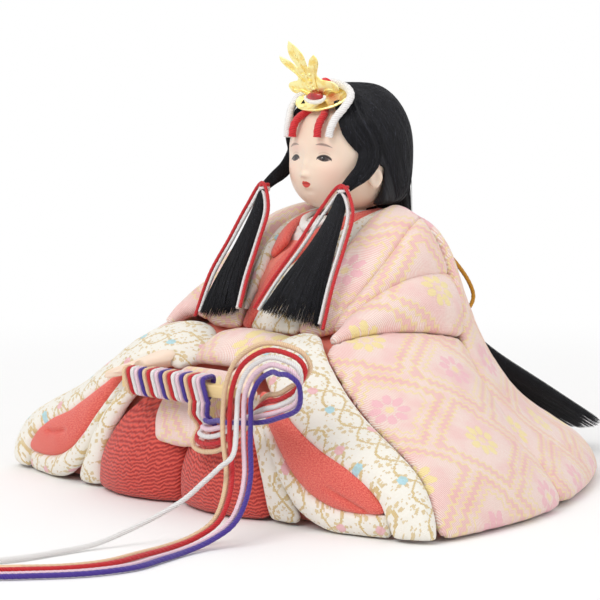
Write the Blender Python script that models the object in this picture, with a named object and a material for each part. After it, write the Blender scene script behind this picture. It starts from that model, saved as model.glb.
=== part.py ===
# A seated court-lady doll for a spring display, built the pressed-wood way:
# a carved core, padded brocade panels tucked into its grooves, a cast head on a
# wooden peg, silk hair, a gilt crown and a closed fan bound with five cords.
# Metres, +Z up. The doll faces -Y and its own left hand is towards +X.
# The origin lies on the display surface straight under the neck peg.

import bmesh
import bpy
import math
from mathutils import Matrix, Vector

# Driving sizes of the robe: every place on it is a share of these three
half_width = 0.0955          # from the middle out to a sleeve's corner on the floor
front_reach = 0.0735         # from the neck forward to the knees
shoulder_height = 0.0865     # from the floor up to the shoulders
clearance = 0.0003           # between neighbours that touch
groove = 0.0007              # left between two panels for the tucked edges

# Padding of the brocade panels
panel_puff = 0.0022          # how far a panel's middle stands over its edges
panel_edge = 0.0008          # thickness at a tucked edge
panel_under = 0.0010         # padding below the seam line
band_puff = 0.0034           # the rolled bands at the sleeve mouths
lining_puff = 0.0020
knee_puff = 0.0032
collar_puff = 0.0008
collar_edge = 0.0005
collar_under = 0.0005
floor_lift = 0.0005          # hems clear the surface that the base stands on
flat_power = 3.5             # how flat a panel's crown is
round_power = 2.0            # the same for a rolled band
heart_share = 0.5            # height inside the core that every panel faces away from
smooth_angle = math.radians(50)  # edges sharper than this stay crisp
sheet_angle = math.radians(30)   # the same on thin metal and wood

# The board under the doll
board_thickness = 0.0014
board_draw_share = 0.93      # its outline against the core's foot

# Peg and neck
peg_radius = 0.0030
peg_length = 0.0340
peg_sink = 0.0100            # how far the peg runs up into the neck
neck_radius = 0.0060
neck_seat = 0.0059           # the neck's foot lies this far under the shoulders
neck_foot = shoulder_height - neck_seat
neck_sink = 0.0120           # how far the neck runs up into the head
peg_sides = 16

# Head
head_half_width = 0.0166
head_half_depth = 0.0169
head_half_height = 0.0186
head_lift = 0.0249           # from the neck's foot up to the head's middle
head_rise = neck_foot + head_lift
head_forward = 0.0012        # the head's middle lies this far in front of the peg
cheek_power = 2.4            # how square the head is from above
jaw_power = 3.2              # how full the cheeks stay towards the chin
jaw_draw_share = 0.16        # how much narrower the chin is than the cheeks
nose_length = 0.0015
nose_width = 0.0021
nose_drop = 0.0072           # below the head's middle
lip_length = 0.0005
lip_width = 0.0026
lip_drop = 0.0108
ear_half_height = 0.0034
ear_half_width = 0.0014
ear_half_depth = 0.0026
ear_drop = 0.0080
ear_forward = 0.0041
ear_sides = 12
ear_rings = 8
head_sides = 20
head_rings = 14

# Hair
hair_half_width = 0.0182
hair_front = 0.0160          # forward reach of the hair over the brow
hair_back = 0.0243
hair_drop = 0.0170           # the dressed hair ends this far below the head's middle
hair_foot = head_rise - hair_drop
hair_height = 0.0395
hair_top = hair_foot + hair_height
hair_lean = 0.0040           # how far back the crown of the hair lies
brow_rise = 0.0110           # the hairline over the head's middle
temple_rise = 0.0020         # where the hairline starts to arch
temple_depth = 0.0080        # the hair is cut back this far in front of the peg
window_half_width = 0.0152
cheek_drop = 0.0045          # below this the hair is drawn back behind the ear
cheek_depth = 0.0010
window_sides = 24
hair_sides = 24
strand_sides = 10

# Cords
tie_cord_radius = 0.00072
crown_cord_radius = 0.00115
fan_cord_radius = 0.00080
loop_cord_radius = 0.00075
tie_steps = 16
crown_steps = 18
loop_steps = 18
fan_cord_steps = 42
ribbon_pitch = 0.00195       # from one strand of the bow to the next
white_parting = 16           # the white strand leaves the others after so many points
fan_cord_crowding = 1.2      # over 1, the points lie closer together near the fan

# Fan
fan_length = 0.0480
fan_travel = 0.0300          # how far the fan draws out of the hands, forwards
fan_height = 0.0060
fan_thickness = 0.0044
fan_taper_share = 0.82       # height at the bare end against the far end
fan_slot_depth = 0.0005
fan_slot_width = 0.00025
fan_slots = 4
wrap_turns = 3.5
wrap_pitch = 0.0095          # one turn of all five strands
wrap_start = 0.0013          # from the far end to the first strand
wrap_points = 8
wrap_lift = 0.0005
wrap_power = 6               # how square a turn is
wrap_bend = 0.0009           # from under the fan out to the end that hangs down
wrap_run = 0.0016            # the straight end of a winding

# Crown
plate_half_width = 0.0112
plate_half_depth = 0.0064
plate_thickness = 0.0005
plate_drop = 0.0056          # below the top of the hair
plate_inset = 0.0055         # behind the front of the hair
plate_forward = hair_front - plate_inset
plate_rise = hair_top - plate_drop
plate_tilt = math.radians(38)
plate_dish = 0.0003
plate_sides = 20
plate_bowl_shares = [0.55, 0.20]
spray_height = 0.0185
spray_half_width = 0.0090
spray_thickness = 0.0005
spray_step = 0.0063          # in front of the plate's middle
spray_drop = 0.0009
spray_lean = math.radians(17)
pin_radius = 0.0006
pin_length = 0.0110
pin_sides = 10
knot_radius = 0.0019
knot_slope = 0.0024          # up the plate's slope from its middle
knot_sides = 10
knot_rings = 7

strand_names = ["beige", "red", "white", "pink", "purple"]

finishes = {
    "rose_brocade": ((0.86, 0.52, 0.43), 0.7, 0.0),
    "cream_brocade": ((0.84, 0.77, 0.60), 0.7, 0.0),
    "coral_crepe": ((0.83, 0.13, 0.09), 0.75, 0.0),
    "scarlet_crepe": ((0.60, 0.07, 0.06), 0.75, 0.0),
    "white_silk": ((0.90, 0.88, 0.84), 0.7, 0.0),
    "skin_glaze": ((0.88, 0.72, 0.60), 0.35, 0.0),
    "black_silk": ((0.012, 0.012, 0.016), 0.45, 0.0),
    "gilt_brass": ((0.90, 0.66, 0.22), 0.28, 1.0),
    "core_wood": ((0.58, 0.42, 0.27), 0.85, 0.0),
    "peg_wood": ((0.66, 0.49, 0.30), 0.8, 0.0),
    "fan_wood": ((0.85, 0.68, 0.38), 0.55, 0.0),
    "base_paper": ((0.75, 0.69, 0.58), 0.9, 0.0),
    "red_cord": ((0.62, 0.01, 0.02), 0.6, 0.0),
    "white_cord": ((0.88, 0.87, 0.85), 0.6, 0.0),
    "purple_cord": ((0.07, 0.03, 0.30), 0.6, 0.0),
    "beige_cord": ((0.85, 0.62, 0.37), 0.6, 0.0),
    "pink_cord": ((0.93, 0.62, 0.68), 0.6, 0.0),
    "gold_cord": ((0.68, 0.36, 0.05), 0.5, 0.0),
}

# Places on the robe, each as shares (across, forward, up) of the three driving sizes
sleeve_top_shares = [(0.461, -0.068, 0.555), (0.482, 0.082, 0.578), (0.461, 0.272, 0.595),
                     (0.429, 0.435, 0.595), (0.387, 0.639, 0.566)]
sleeve_upper_shares = [(0.524, -0.041, 0.439), (0.586, 0.136, 0.468), (0.597, 0.340, 0.486),
                       (0.555, 0.517, 0.486), (0.487, 0.680, 0.462)]
sleeve_middle_shares = [(0.649, -0.034, 0.277), (0.712, 0.163, 0.312), (0.733, 0.381, 0.335),
                        (0.702, 0.571, 0.335), (0.639, 0.707, 0.335)]
sleeve_lower_shares = [(0.796, -0.054, 0.116), (0.869, 0.204, 0.150), (0.901, 0.435, 0.173),
                       (0.901, 0.626, 0.185), (0.880, 0.762, 0.208)]
sleeve_floor_shares = [(0.890, -0.054, 0.009), (0.942, 0.204, 0.009), (0.963, 0.408, 0.009),
                       (0.979, 0.612, 0.009), (0.990, 0.803, 0.009)]
cuff_outer_shares = [(0.105, 0.680, 0.474), (0.178, 0.544, 0.566), (0.283, 0.531, 0.590),
                     (0.380, 0.642, 0.569), (0.487, 0.694, 0.462), (0.639, 0.721, 0.335),
                     (0.880, 0.776, 0.208), (0.969, 0.810, 0.116), (0.990, 0.816, 0.009)]
cuff_inner_shares = [(0.147, 0.816, 0.451), (0.209, 0.816, 0.486), (0.283, 0.830, 0.491),
                     (0.340, 0.884, 0.434), (0.450, 0.918, 0.353),
                     (0.581, 0.925, 0.266), (0.775, 0.912, 0.173), (0.843, 0.898, 0.104),
                     (0.869, 0.884, 0.009)]
lining_upper_shares = [(0.335, 0.898, 0.428), (0.450, 0.918, 0.353), (0.581, 0.925, 0.266),
                       (0.702, 0.918, 0.216), (0.775, 0.912, 0.173), (0.838, 0.898, 0.104)]
lining_lower_shares = [(0.325, 0.912, 0.416), (0.429, 0.939, 0.266), (0.513, 0.946, 0.156),
                       (0.618, 0.939, 0.090), (0.712, 0.925, 0.075), (0.838, 0.898, 0.087)]
hem_upper_shares = [(0.319, 0.912, 0.416), (0.429, 0.939, 0.266), (0.513, 0.946, 0.156),
                    (0.618, 0.939, 0.090), (0.712, 0.925, 0.075), (0.848, 0.891, 0.081)]
hem_lower_shares = [(0.304, 0.898, 0.410), (0.398, 0.939, 0.272), (0.476, 0.952, 0.116),
                    (0.576, 0.952, 0.009), (0.723, 0.918, 0.009), (0.859, 0.878, 0.009)]
fold_outer_shares = [(0.298, 0.898, 0.410), (0.398, 0.939, 0.272), (0.476, 0.952, 0.116),
                     (0.534, 0.939, 0.009)]
fold_inner_shares = [(0.251, 0.871, 0.410), (0.335, 0.939, 0.266), (0.393, 0.959, 0.116),
                     (0.408, 0.946, 0.009)]
knee_outer_shares = [(0.241, 0.823, 0.370), (0.325, 0.912, 0.260), (0.387, 0.959, 0.116),
                     (0.403, 0.946, 0.009)]
knee_middle_shares = [(0.126, 0.796, 0.358), (0.168, 0.925, 0.237), (0.194, 1.000, 0.104),
                      (0.199, 0.986, 0.009)]
knee_inner_shares = [(0.003, 0.782, 0.358), (0.003, 0.884, 0.231), (0.003, 0.946, 0.104),
                     (0.003, 0.939, 0.009)]
lap_rows_shares = [
    [(-0.115, 0.803, 0.462), (0.000, 0.816, 0.468), (0.115, 0.803, 0.462)],
    [(-0.136, 0.844, 0.399), (0.000, 0.850, 0.405), (0.136, 0.844, 0.399)],
    [(-0.147, 0.921, 0.312), (0.000, 0.925, 0.312), (0.147, 0.921, 0.312)],
    [(-0.105, 0.980, 0.220), (0.000, 0.984, 0.208), (0.105, 0.980, 0.220)],
]
waist_rows_shares = [
    [(-0.147, 0.476, 0.549), (0.000, 0.517, 0.561), (0.168, 0.490, 0.555)],
    [(-0.136, 0.626, 0.543), (0.000, 0.653, 0.561), (0.147, 0.626, 0.543)],
    [(-0.105, 0.762, 0.480), (0.000, 0.796, 0.486), (0.105, 0.762, 0.480)],
]
third_fold_shares = [(0.461, -0.068, 0.566), (0.482, 0.082, 0.590), (0.461, 0.272, 0.607),
                     (0.429, 0.435, 0.607), (0.387, 0.612, 0.578)]
arm_fold_middle_shares = [(0.429, -0.109, 0.671), (0.461, 0.068, 0.694), (0.455, 0.231, 0.694),
                          (0.429, 0.381, 0.659), (0.382, 0.517, 0.613)]
second_fold_shares = [(0.366, -0.122, 0.775), (0.393, 0.041, 0.780), (0.398, 0.204, 0.769),
                      (0.377, 0.354, 0.694), (0.351, 0.476, 0.618)]
arm_upper_middle_shares = [(0.340, -0.082, 0.890), (0.366, 0.054, 0.879), (0.377, 0.190, 0.821),
                           (0.361, 0.327, 0.728), (0.330, 0.469, 0.613)]
first_fold_shares = [(0.293, -0.054, 0.977), (0.340, 0.095, 0.925), (0.351, 0.218, 0.832),
                     (0.335, 0.354, 0.705), (0.304, 0.469, 0.601)]
robe_front_middle_shares = [(0.230, -0.068, 1.006), (0.272, 0.109, 0.948), (0.277, 0.259, 0.838),
                            (0.251, 0.395, 0.699), (0.230, 0.497, 0.578)]
robe_edge_left_shares = [(0.157, -0.095, 1.012), (0.188, 0.109, 0.971), (0.199, 0.272, 0.861),
                         (0.178, 0.401, 0.717), (0.152, 0.483, 0.584)]
robe_edge_right_shares = [(0.157, -0.095, 1.012), (0.178, 0.122, 0.965), (0.157, 0.306, 0.861),
                          (0.136, 0.415, 0.717), (0.120, 0.490, 0.584)]
cream_right_outer_shares = [(-0.152, -0.095, 1.006), (-0.173, 0.129, 0.960), (-0.152, 0.313, 0.855),
                            (-0.132, 0.422, 0.711), (-0.120, 0.463, 0.647)]
cream_right_inner_shares = [(-0.126, -0.082, 1.000), (-0.131, 0.177, 0.936), (-0.094, 0.354, 0.832),
                            (-0.101, 0.429, 0.705), (-0.111, 0.463, 0.647)]
coral_right_outer_shares = [(-0.123, -0.082, 1.000), (-0.126, 0.184, 0.936), (-0.084, 0.354, 0.832)]
coral_right_inner_shares = [(-0.094, -0.068, 0.999), (-0.089, 0.184, 0.971), (-0.036, 0.320, 0.896)]
coral_left_inner_shares = [(0.094, -0.068, 0.999), (0.089, 0.184, 0.971), (0.000, 0.340, 0.879),
                           (-0.068, 0.422, 0.728), (-0.115, 0.476, 0.590)]
coral_left_outer_shares = [(0.123, -0.082, 1.000), (0.126, 0.184, 0.936), (0.037, 0.367, 0.832),
                           (-0.026, 0.442, 0.711), (-0.073, 0.490, 0.584)]
chest_inner_shares = [(0.126, -0.082, 1.000), (0.130, 0.184, 0.932), (0.042, 0.367, 0.828),
                      (-0.021, 0.442, 0.705), (-0.068, 0.490, 0.582)]
chest_outer_shares = [(0.152, -0.095, 1.006), (0.183, 0.116, 0.964), (0.193, 0.272, 0.855),
                      (0.172, 0.405, 0.712), (0.147, 0.490, 0.582)]
white_outer_shares = [(-0.092, -0.054, 0.998), (-0.084, 0.163, 0.973), (0.000, 0.293, 0.920),
                      (0.084, 0.163, 0.973), (0.092, -0.054, 0.998)]
white_inner_shares = [(-0.077, -0.054, 1.005), (-0.069, 0.143, 0.992), (0.000, 0.238, 0.955),
                      (0.069, 0.143, 0.992), (0.077, -0.054, 1.005)]
back_rows_shares = [
    [(0.272, -0.109, 0.971), (0.152, -0.163, 0.994), (0.000, -0.184, 1.000)],
    [(0.335, -0.150, 0.867), (0.209, -0.231, 0.884), (0.000, -0.259, 0.890)],
    [(0.372, -0.136, 0.763), (0.241, -0.272, 0.775), (0.000, -0.327, 0.780)],
    [(0.461, -0.068, 0.555), (0.335, -0.299, 0.561), (0.000, -0.395, 0.601)],
    [(0.524, -0.041, 0.439), (0.419, -0.340, 0.405), (0.230, -0.476, 0.422), (0.000, -0.531, 0.439)],
    [(0.649, -0.034, 0.277), (0.508, -0.442, 0.225), (0.293, -0.667, 0.266), (0.000, -0.735, 0.295)],
    [(0.796, -0.054, 0.116), (0.628, -0.476, 0.133), (0.346, -0.864, 0.154), (0.000, -0.952, 0.173)],
    [(0.848, -0.054, 0.058), (0.681, -0.524, 0.075), (0.393, -0.986, 0.081), (0.000, -1.143, 0.092)],
    [(0.890, -0.054, 0.009), (0.696, -0.551, 0.009), (0.408, -1.020, 0.009), (0.000, -1.197, 0.009)],
]
core_rings_shares = [
    [(0.000, 0.884, 0.020), (0.314, 0.891, 0.020), (0.607, 0.857, 0.020), (0.901, 0.776, 0.020),
     (0.911, 0.408, 0.020), (0.838, 0.014, 0.020), (0.649, -0.490, 0.020), (0.366, -0.952, 0.020),
     (0.000, -1.129, 0.020)],
    [(0.000, 0.884, 0.104), (0.314, 0.884, 0.104), (0.586, 0.844, 0.104), (0.827, 0.762, 0.104),
     (0.838, 0.408, 0.104), (0.743, 0.000, 0.104), (0.597, -0.435, 0.104), (0.325, -0.816, 0.104),
     (0.000, -0.952, 0.104)],
    [(0.000, 0.857, 0.243), (0.293, 0.844, 0.243), (0.524, 0.789, 0.243), (0.691, 0.721, 0.243),
     (0.691, 0.408, 0.243), (0.607, 0.000, 0.243), (0.482, -0.381, 0.243), (0.293, -0.626, 0.243),
     (0.000, -0.707, 0.243)],
    [(0.000, 0.789, 0.358), (0.209, 0.776, 0.358), (0.398, 0.735, 0.370), (0.545, 0.680, 0.370),
     (0.555, 0.381, 0.370), (0.492, 0.000, 0.370), (0.398, -0.272, 0.370), (0.230, -0.435, 0.370),
     (0.000, -0.490, 0.370)],
    [(0.000, 0.612, 0.474), (0.126, 0.612, 0.474), (0.314, 0.599, 0.486), (0.440, 0.571, 0.486),
     (0.450, 0.340, 0.486), (0.419, 0.054, 0.486), (0.335, -0.190, 0.486), (0.188, -0.340, 0.486),
     (0.000, -0.381, 0.486)],
    [(0.000, 0.395, 0.590), (0.105, 0.395, 0.590), (0.230, 0.395, 0.590), (0.314, 0.367, 0.590),
     (0.377, 0.245, 0.590), (0.366, 0.054, 0.590), (0.293, -0.163, 0.590), (0.168, -0.286, 0.590),
     (0.000, -0.313, 0.590)],
    [(0.000, 0.327, 0.740), (0.084, 0.320, 0.740), (0.168, 0.299, 0.740), (0.251, 0.259, 0.740),
     (0.314, 0.136, 0.740), (0.314, 0.027, 0.740), (0.251, -0.122, 0.740), (0.136, -0.218, 0.740),
     (0.000, -0.252, 0.740)],
    [(0.000, 0.218, 0.855), (0.063, 0.211, 0.855), (0.126, 0.190, 0.855), (0.188, 0.150, 0.855),
     (0.251, 0.068, 0.855), (0.262, 0.000, 0.855), (0.209, -0.095, 0.855), (0.115, -0.150, 0.855),
     (0.000, -0.170, 0.855)],
    [(0.000, 0.122, 0.923), (0.042, 0.120, 0.923), (0.084, 0.109, 0.923), (0.136, 0.082, 0.923),
     (0.178, 0.041, 0.923), (0.188, 0.000, 0.923), (0.147, -0.054, 0.923), (0.084, -0.095, 0.923),
     (0.000, -0.109, 0.923)],
]
fan_seat_shares = (-0.234, 0.996, 0.423)
hand_path_shares = [(0.204, 0.748, 0.489), (0.217, 0.839, 0.479), (0.251, 0.922, 0.459),
                    (0.306, 0.965, 0.439), (0.355, 0.980, 0.421)]

# The rest of the doll, as shares of the sizes named with each
hair_rings_shares = [(0.00, 0.94, 0.58, 0.92), (0.22, 1.00, 0.68, 0.98), (0.46, 1.00, 0.86, 1.00),
                     (0.62, 0.98, 1.00, 0.95), (0.75, 0.88, 0.90, 0.86), (0.86, 0.73, 0.54, 0.73),
                     (0.945, 0.52, 0.28, 0.58), (0.99, 0.27, 0.12, 0.40)]
tail_path_shares = [(0.000, -0.252, 1.020), (0.000, -0.343, 0.908), (0.000, -0.410, 0.786),
                    (0.010, -0.469, 0.665), (0.023, -0.537, 0.572), (0.042, -0.646, 0.486),
                    (0.063, -0.803, 0.387), (0.084, -1.027, 0.277), (0.099, -1.238, 0.183),
                    (0.110, -1.415, 0.106)]
tail_half_width = 0.0118
tail_half_depth = 0.0030
tail_power = 2.6
tail_rings = 14
tail_width_shares = [0.90, 0.74, 0.70, 0.72, 0.80, 0.88, 0.94, 0.98, 1.00, 0.94]
tail_depth_shares = [0.85, 0.90, 0.95, 1.00, 1.05, 1.08, 1.08, 1.05, 1.00, 0.85]
lock_path_shares = [(0.643, 0.619, 0.715), (0.813, 0.744, 0.425), (0.923, 0.825, 0.081),
                    (0.978, 0.869, -0.296), (0.984, 1.069, -0.629)]
lock_half_width = 0.0026
lock_half_depth = 0.0012
lock_rings = 7
lock_width_shares = [0.55, 0.95, 1.00, 0.85, 0.60]
lock_depth_shares = [0.70, 1.00, 1.00, 1.00, 1.10]
tuft_path_shares = [(0.984, 1.087, -0.651), (0.978, 1.337, -1.022), (0.956, 1.788, -1.586),
                    (0.923, 2.237, -2.177), (0.890, 2.531, -2.661)]
tuft_half_width = 0.0102
tuft_half_depth = 0.0027
tuft_power = 2.4
tuft_rings = 9
tuft_toe_share = 0.21        # how far each tuft is turned to its own side
tuft_width_shares = [0.15, 0.34, 0.58, 0.83, 1.00]
tuft_depth_shares = [0.40, 0.75, 0.95, 1.00, 1.00]
hand_half_width = 0.0046
hand_half_depth = 0.0030
hand_rings = 8
hand_width_shares = [0.75, 1.00, 1.05, 0.80, 0.40]
hand_depth_shares = [0.90, 1.00, 0.95, 0.75, 0.45]
spray_outline_shares = [
    (-0.26, -0.20), (-0.30, 0.00), (-0.52, 0.13), (-0.82, 0.12), (-1.00, 0.26), (-0.90, 0.40),
    (-0.66, 0.36),
    (-0.62, 0.47), (-0.98, 0.82), (-0.84, 0.84), (-0.40, 0.60), (-0.36, 0.78), (-0.10, 1.00),
    (0.10, 1.00), (0.36, 0.78), (0.40, 0.60), (0.84, 0.84), (0.98, 0.82), (0.62, 0.47),
    (0.66, 0.36), (0.90, 0.40), (1.00, 0.26), (0.82, 0.12), (0.52, 0.13), (0.30, 0.00), (0.26, -0.20),
]

# Routes of the cords, chosen by hand; the ones at a side are mirrored for the other
tie_white_route = [(0.0048, -0.0434, 0.0575), (0.0074, -0.0379, 0.0665), (0.0106, -0.0301, 0.0770),
                   (0.0134, -0.0235, 0.0870), (0.0179, -0.0208, 0.0931), (0.0224, -0.0221, 0.0870),
                   (0.0245, -0.0277, 0.0770), (0.0263, -0.0343, 0.0660), (0.0273, -0.0392, 0.0545)]
tie_red_route = [(0.0031, -0.0438, 0.0580), (0.0057, -0.0383, 0.0668), (0.0088, -0.0306, 0.0773),
                 (0.0116, -0.0238, 0.0877), (0.0179, -0.0206, 0.0956), (0.0242, -0.0218, 0.0877),
                 (0.0263, -0.0275, 0.0773), (0.0281, -0.0342, 0.0663), (0.0291, -0.0396, 0.0530)]
crown_white_route = [(-0.0093, -0.0173, 0.1103), (-0.0096, -0.0169, 0.1140), (-0.0108, -0.0151, 0.1176),
                     (-0.0124, -0.0120, 0.1206), (-0.0125, -0.0087, 0.1235), (-0.0082, -0.0053, 0.1272),
                     (0.0, -0.0041, 0.1295),
                     (0.0082, -0.0053, 0.1272), (0.0125, -0.0087, 0.1235), (0.0124, -0.0120, 0.1206),
                     (0.0108, -0.0151, 0.1176), (0.0096, -0.0169, 0.1140), (0.0093, -0.0173, 0.1103)]
crown_red_route = [(-0.0054, -0.0187, 0.1103), (-0.0054, -0.0183, 0.1140), (-0.0053, -0.0176, 0.1170),
                   (-0.0050, -0.0166, 0.1197), (-0.0037, -0.0152, 0.1214), (-0.0017, -0.0145, 0.1221),
                   (0.0, -0.0144, 0.1222), (0.0017, -0.0145, 0.1221),
                   (0.0037, -0.0152, 0.1214), (0.0050, -0.0166, 0.1197), (0.0053, -0.0176, 0.1170),
                   (0.0054, -0.0183, 0.1140), (0.0054, -0.0187, 0.1103)]
back_loop_route = [(0.0126, 0.0228, 0.0737), (0.0129, 0.0252, 0.0748), (0.0131, 0.0300, 0.0742),
                   (0.0132, 0.0372, 0.0690), (0.0135, 0.0435, 0.0625), (0.0136, 0.0462, 0.0570),
                   (0.0136, 0.0440, 0.0532), (0.0135, 0.0400, 0.0524), (0.0134, 0.0362, 0.0542),
                   (0.0133, 0.0330, 0.0578), (0.0130, 0.0292, 0.0567)]

# The ribbon of strands from under the fan, through the bow and along the floor: each
# point of its middle, and the way in which its strands lie beside each other there
ribbon_route = [
    ((0.0160, -0.0748, 0.0264), (0.97, 0, 0.2)), ((0.0163, -0.0770, 0.0249), (0.92, 0, 0.75)),
    ((0.0182, -0.0792, 0.0244), (0.6, 0, 1.1)), ((0.0230, -0.0804, 0.0242), (0.2, 0, 1.15)),
    ((0.0293, -0.0810, 0.0258), (0.1, -0.4, 1.05)), ((0.0370, -0.0808, 0.0300), (0, -1.2, 0.1)),
    ((0.0465, -0.0810, 0.0345), (0.15, -0.4, -0.85)), ((0.0540, -0.0815, 0.0365), (0.2, -0.3, -0.85)),
    ((0.0610, -0.0820, 0.0396), (0.7, -0.35, -0.7)), ((0.0640, -0.0828, 0.0436), (0.8, -0.85, 0)),
    ((0.0645, -0.0834, 0.0473), (0.05, -1.1, -0.2)), ((0.0610, -0.0842, 0.0496), (-0.25, -0.75, -0.8)),
    ((0.0540, -0.0852, 0.0504), (0.45, -0.15, -1)), ((0.0470, -0.0863, 0.0466), (0.75, 0.3, -0.8)),
    ((0.0438, -0.0872, 0.0403), (0.9, 0.4, -0.5)), ((0.0438, -0.0880, 0.0330), (1, 0.45, 0)),
    ((0.0460, -0.0900, 0.0262), (1, 0.4, 0)), ((0.0505, -0.0935, 0.0180), (0.95, 0.3, 0)),
    ((0.0540, -0.0985, 0.0115), (0.95, 0.2, 0)), ((0.0545, -0.1030, 0.0062), (0.95, 0.1, 0)),
    ((0.0526, -0.1090, 0.0026), (1, 0, 0)), ((0.0528, -0.1180, 0.0011), (1.15, -0.05, 0)),
    ((0.0553, -0.1300, 0.0010), (1.3, 0, 0)), ((0.0575, -0.1420, 0.0010), (1.4, 0.1, 0)),
    ((0.0545, -0.1540, 0.0010), (1.4, -0.2, 0)), ((0.0470, -0.1650, 0.0010), (1.3, -0.55, 0)),
    ((0.0380, -0.1760, 0.0010), (1.2, -0.7, 0)), ((0.0280, -0.1870, 0.0010), (1.1, -0.75, 0)),
]
white_tail_route = [
    (0.0493, -0.0942, 0.0240), (0.0476, -0.0980, 0.0202), (0.0452, -0.1015, 0.0164),
    (0.0420, -0.1075, 0.0110), (0.0376, -0.1180, 0.0056), (0.0344, -0.1310, 0.0016),
    (0.0336, -0.1440, 0.0010), (0.0330, -0.1550, 0.0010), (0.0298, -0.1650, 0.0010),
    (0.0240, -0.1750, 0.0010),
]

made = {}


def finish(name):
    if name in bpy.data.materials:
        return bpy.data.materials[name]
    colour, roughness, metallic = finishes[name]
    material = bpy.data.materials.new(name)
    material.use_nodes = True
    shader = material.node_tree.nodes["Principled BSDF"]
    shader.inputs["Base Color"].default_value = (*colour, 1)
    shader.inputs["Roughness"].default_value = roughness
    shader.inputs["Metallic"].default_value = metallic
    material.diffuse_color = (*colour, 1)
    return material


def keep(name, bm, material, sharp=smooth_angle):
    # One finished mesh becomes one named part of the doll
    bmesh.ops.recalc_face_normals(bm, faces=bm.faces)
    mesh = bpy.data.meshes.new(name)
    bm.to_mesh(mesh)
    bm.free()
    mesh.shade_smooth()
    mesh.set_sharp_from_angle(angle=sharp)
    mesh.materials.append(finish(material))
    part = bpy.data.objects.new(name, mesh)
    bpy.context.scene.collection.objects.link(part)
    made[name] = part
    return part


def spot(share, side=1):
    across, forward, up = share
    return Vector((side * across * half_width, -forward * front_reach, up * shoulder_height))


def head_spot(share, side=1):
    # A place on the hair that hangs from the head
    across, forward, up = share
    return Vector((side * across * hair_half_width, -forward * hair_front, head_rise + up * head_half_height))


def curve_point(a, b, c, d, t):
    # Catmull-Rom between b and c
    return ((b * 2) + (c - a) * t + (a * 2 - b * 5 + c * 4 - d) * t ** 2
            + (b * 3 - a - c * 3 + d) * t ** 3) / 2


def smooth_row(points, stations, trim=0, closed=False, fine=10):
    # Points along one smooth curve through the given ones, at shares of its length
    points = [Vector(p) for p in points]
    if closed:
        padded = [points[-1]] + points + points[:2]
    elif len(points) == 2:
        padded = [points[0] * 2 - points[1], *points, points[1] * 2 - points[0]]
    else:
        padded = [points[0] * 2 - points[1]] + points + [points[-1] * 2 - points[-2]]
    dense = []
    for i in range(1, len(padded) - 2):
        dense += [curve_point(*padded[i - 1:i + 3], s / fine) for s in range(fine)]
    dense.append(padded[-2].copy())
    lengths = [0]
    for a, b in zip(dense, dense[1:]):
        lengths.append(lengths[-1] + (b - a).length)
    row, k = [], 0
    for station in stations:
        target = trim + station * (lengths[-1] - 2 * trim)
        while k < len(lengths) - 2 and lengths[k + 1] < target:
            k += 1
        span = lengths[k + 1] - lengths[k]
        row.append(dense[k].lerp(dense[k + 1], (target - lengths[k]) / span if span else 0))
    return row


def even(count):
    return [i / count for i in range(count + 1)]


def crowded(count):
    # Stations closer together near both ends, where a padded edge curls down
    return [(1 - math.cos(math.pi * i / count)) / 2 for i in range(count + 1)]


def swell(t, power, start, end):
    # 0 at a tucked edge, 1 over the middle
    if not start and not end:
        return 1
    if not start:
        t = (1 + t) / 2
    if not end:
        t = t / 2
    return math.sqrt(max(0, 1 - abs(2 * t - 1) ** power))


def quilt(name, rails, material, cells, side=1, puff=panel_puff, power=flat_power,
          tucked=(True, True, True, True), edge=panel_edge, under=panel_under):
    # A padded panel: cloth over wadding between smooth rails, its edges tucked down
    along, across = cells
    run_stations = crowded(along) if tucked[0] and tucked[1] else even(along)
    cross_stations = crowded(across) if tucked[2] and tucked[3] else even(across)
    trims = [groove / 2 if any(tucked[:2]) else 0, groove / 2]
    rows = [smooth_row([spot(p, side) for p in rail], run_stations, trims[0]) for rail in rails]
    net = [smooth_row([row[i] for row in rows], cross_stations, trims[1]) for i in range(along + 1)]
    bm = bmesh.new()
    station = bm.verts.layers.int.new("station")
    bmesh.ops.create_grid(bm, x_segments=along, y_segments=across, size=1)
    for v in bm.verts:
        i = round((v.co.x + 1) / 2 * along)
        j = round((v.co.y + 1) / 2 * across)
        v[station] = i * (across + 1) + j
        v.co = net[i][j]
    bm.normal_update()
    middle = Vector((0, 0, heart_share * shoulder_height))
    facing = sum(f.normal.dot(f.calc_center_median() - middle) * f.calc_area() for f in bm.faces)
    if facing < 0:
        bmesh.ops.reverse_faces(bm, faces=bm.faces)
        bm.normal_update()
    normals = {v[station]: v.normal.copy() for v in bm.verts}
    grown = bmesh.ops.extrude_face_region(bm, geom=list(bm.faces))
    tops = {g for g in grown["geom"] if isinstance(g, bmesh.types.BMVert)}
    for v in bm.verts:
        i, j = divmod(v[station], across + 1)
        rise = (swell(run_stations[i], power, *tucked[:2])
                * swell(cross_stations[j], power, *tucked[2:]))
        lift = edge + puff * rise if v in tops else -under
        v.co += normals[v[station]] * lift
        v.co.z = max(v.co.z, floor_lift)
    return keep(name, bm, material)


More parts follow.
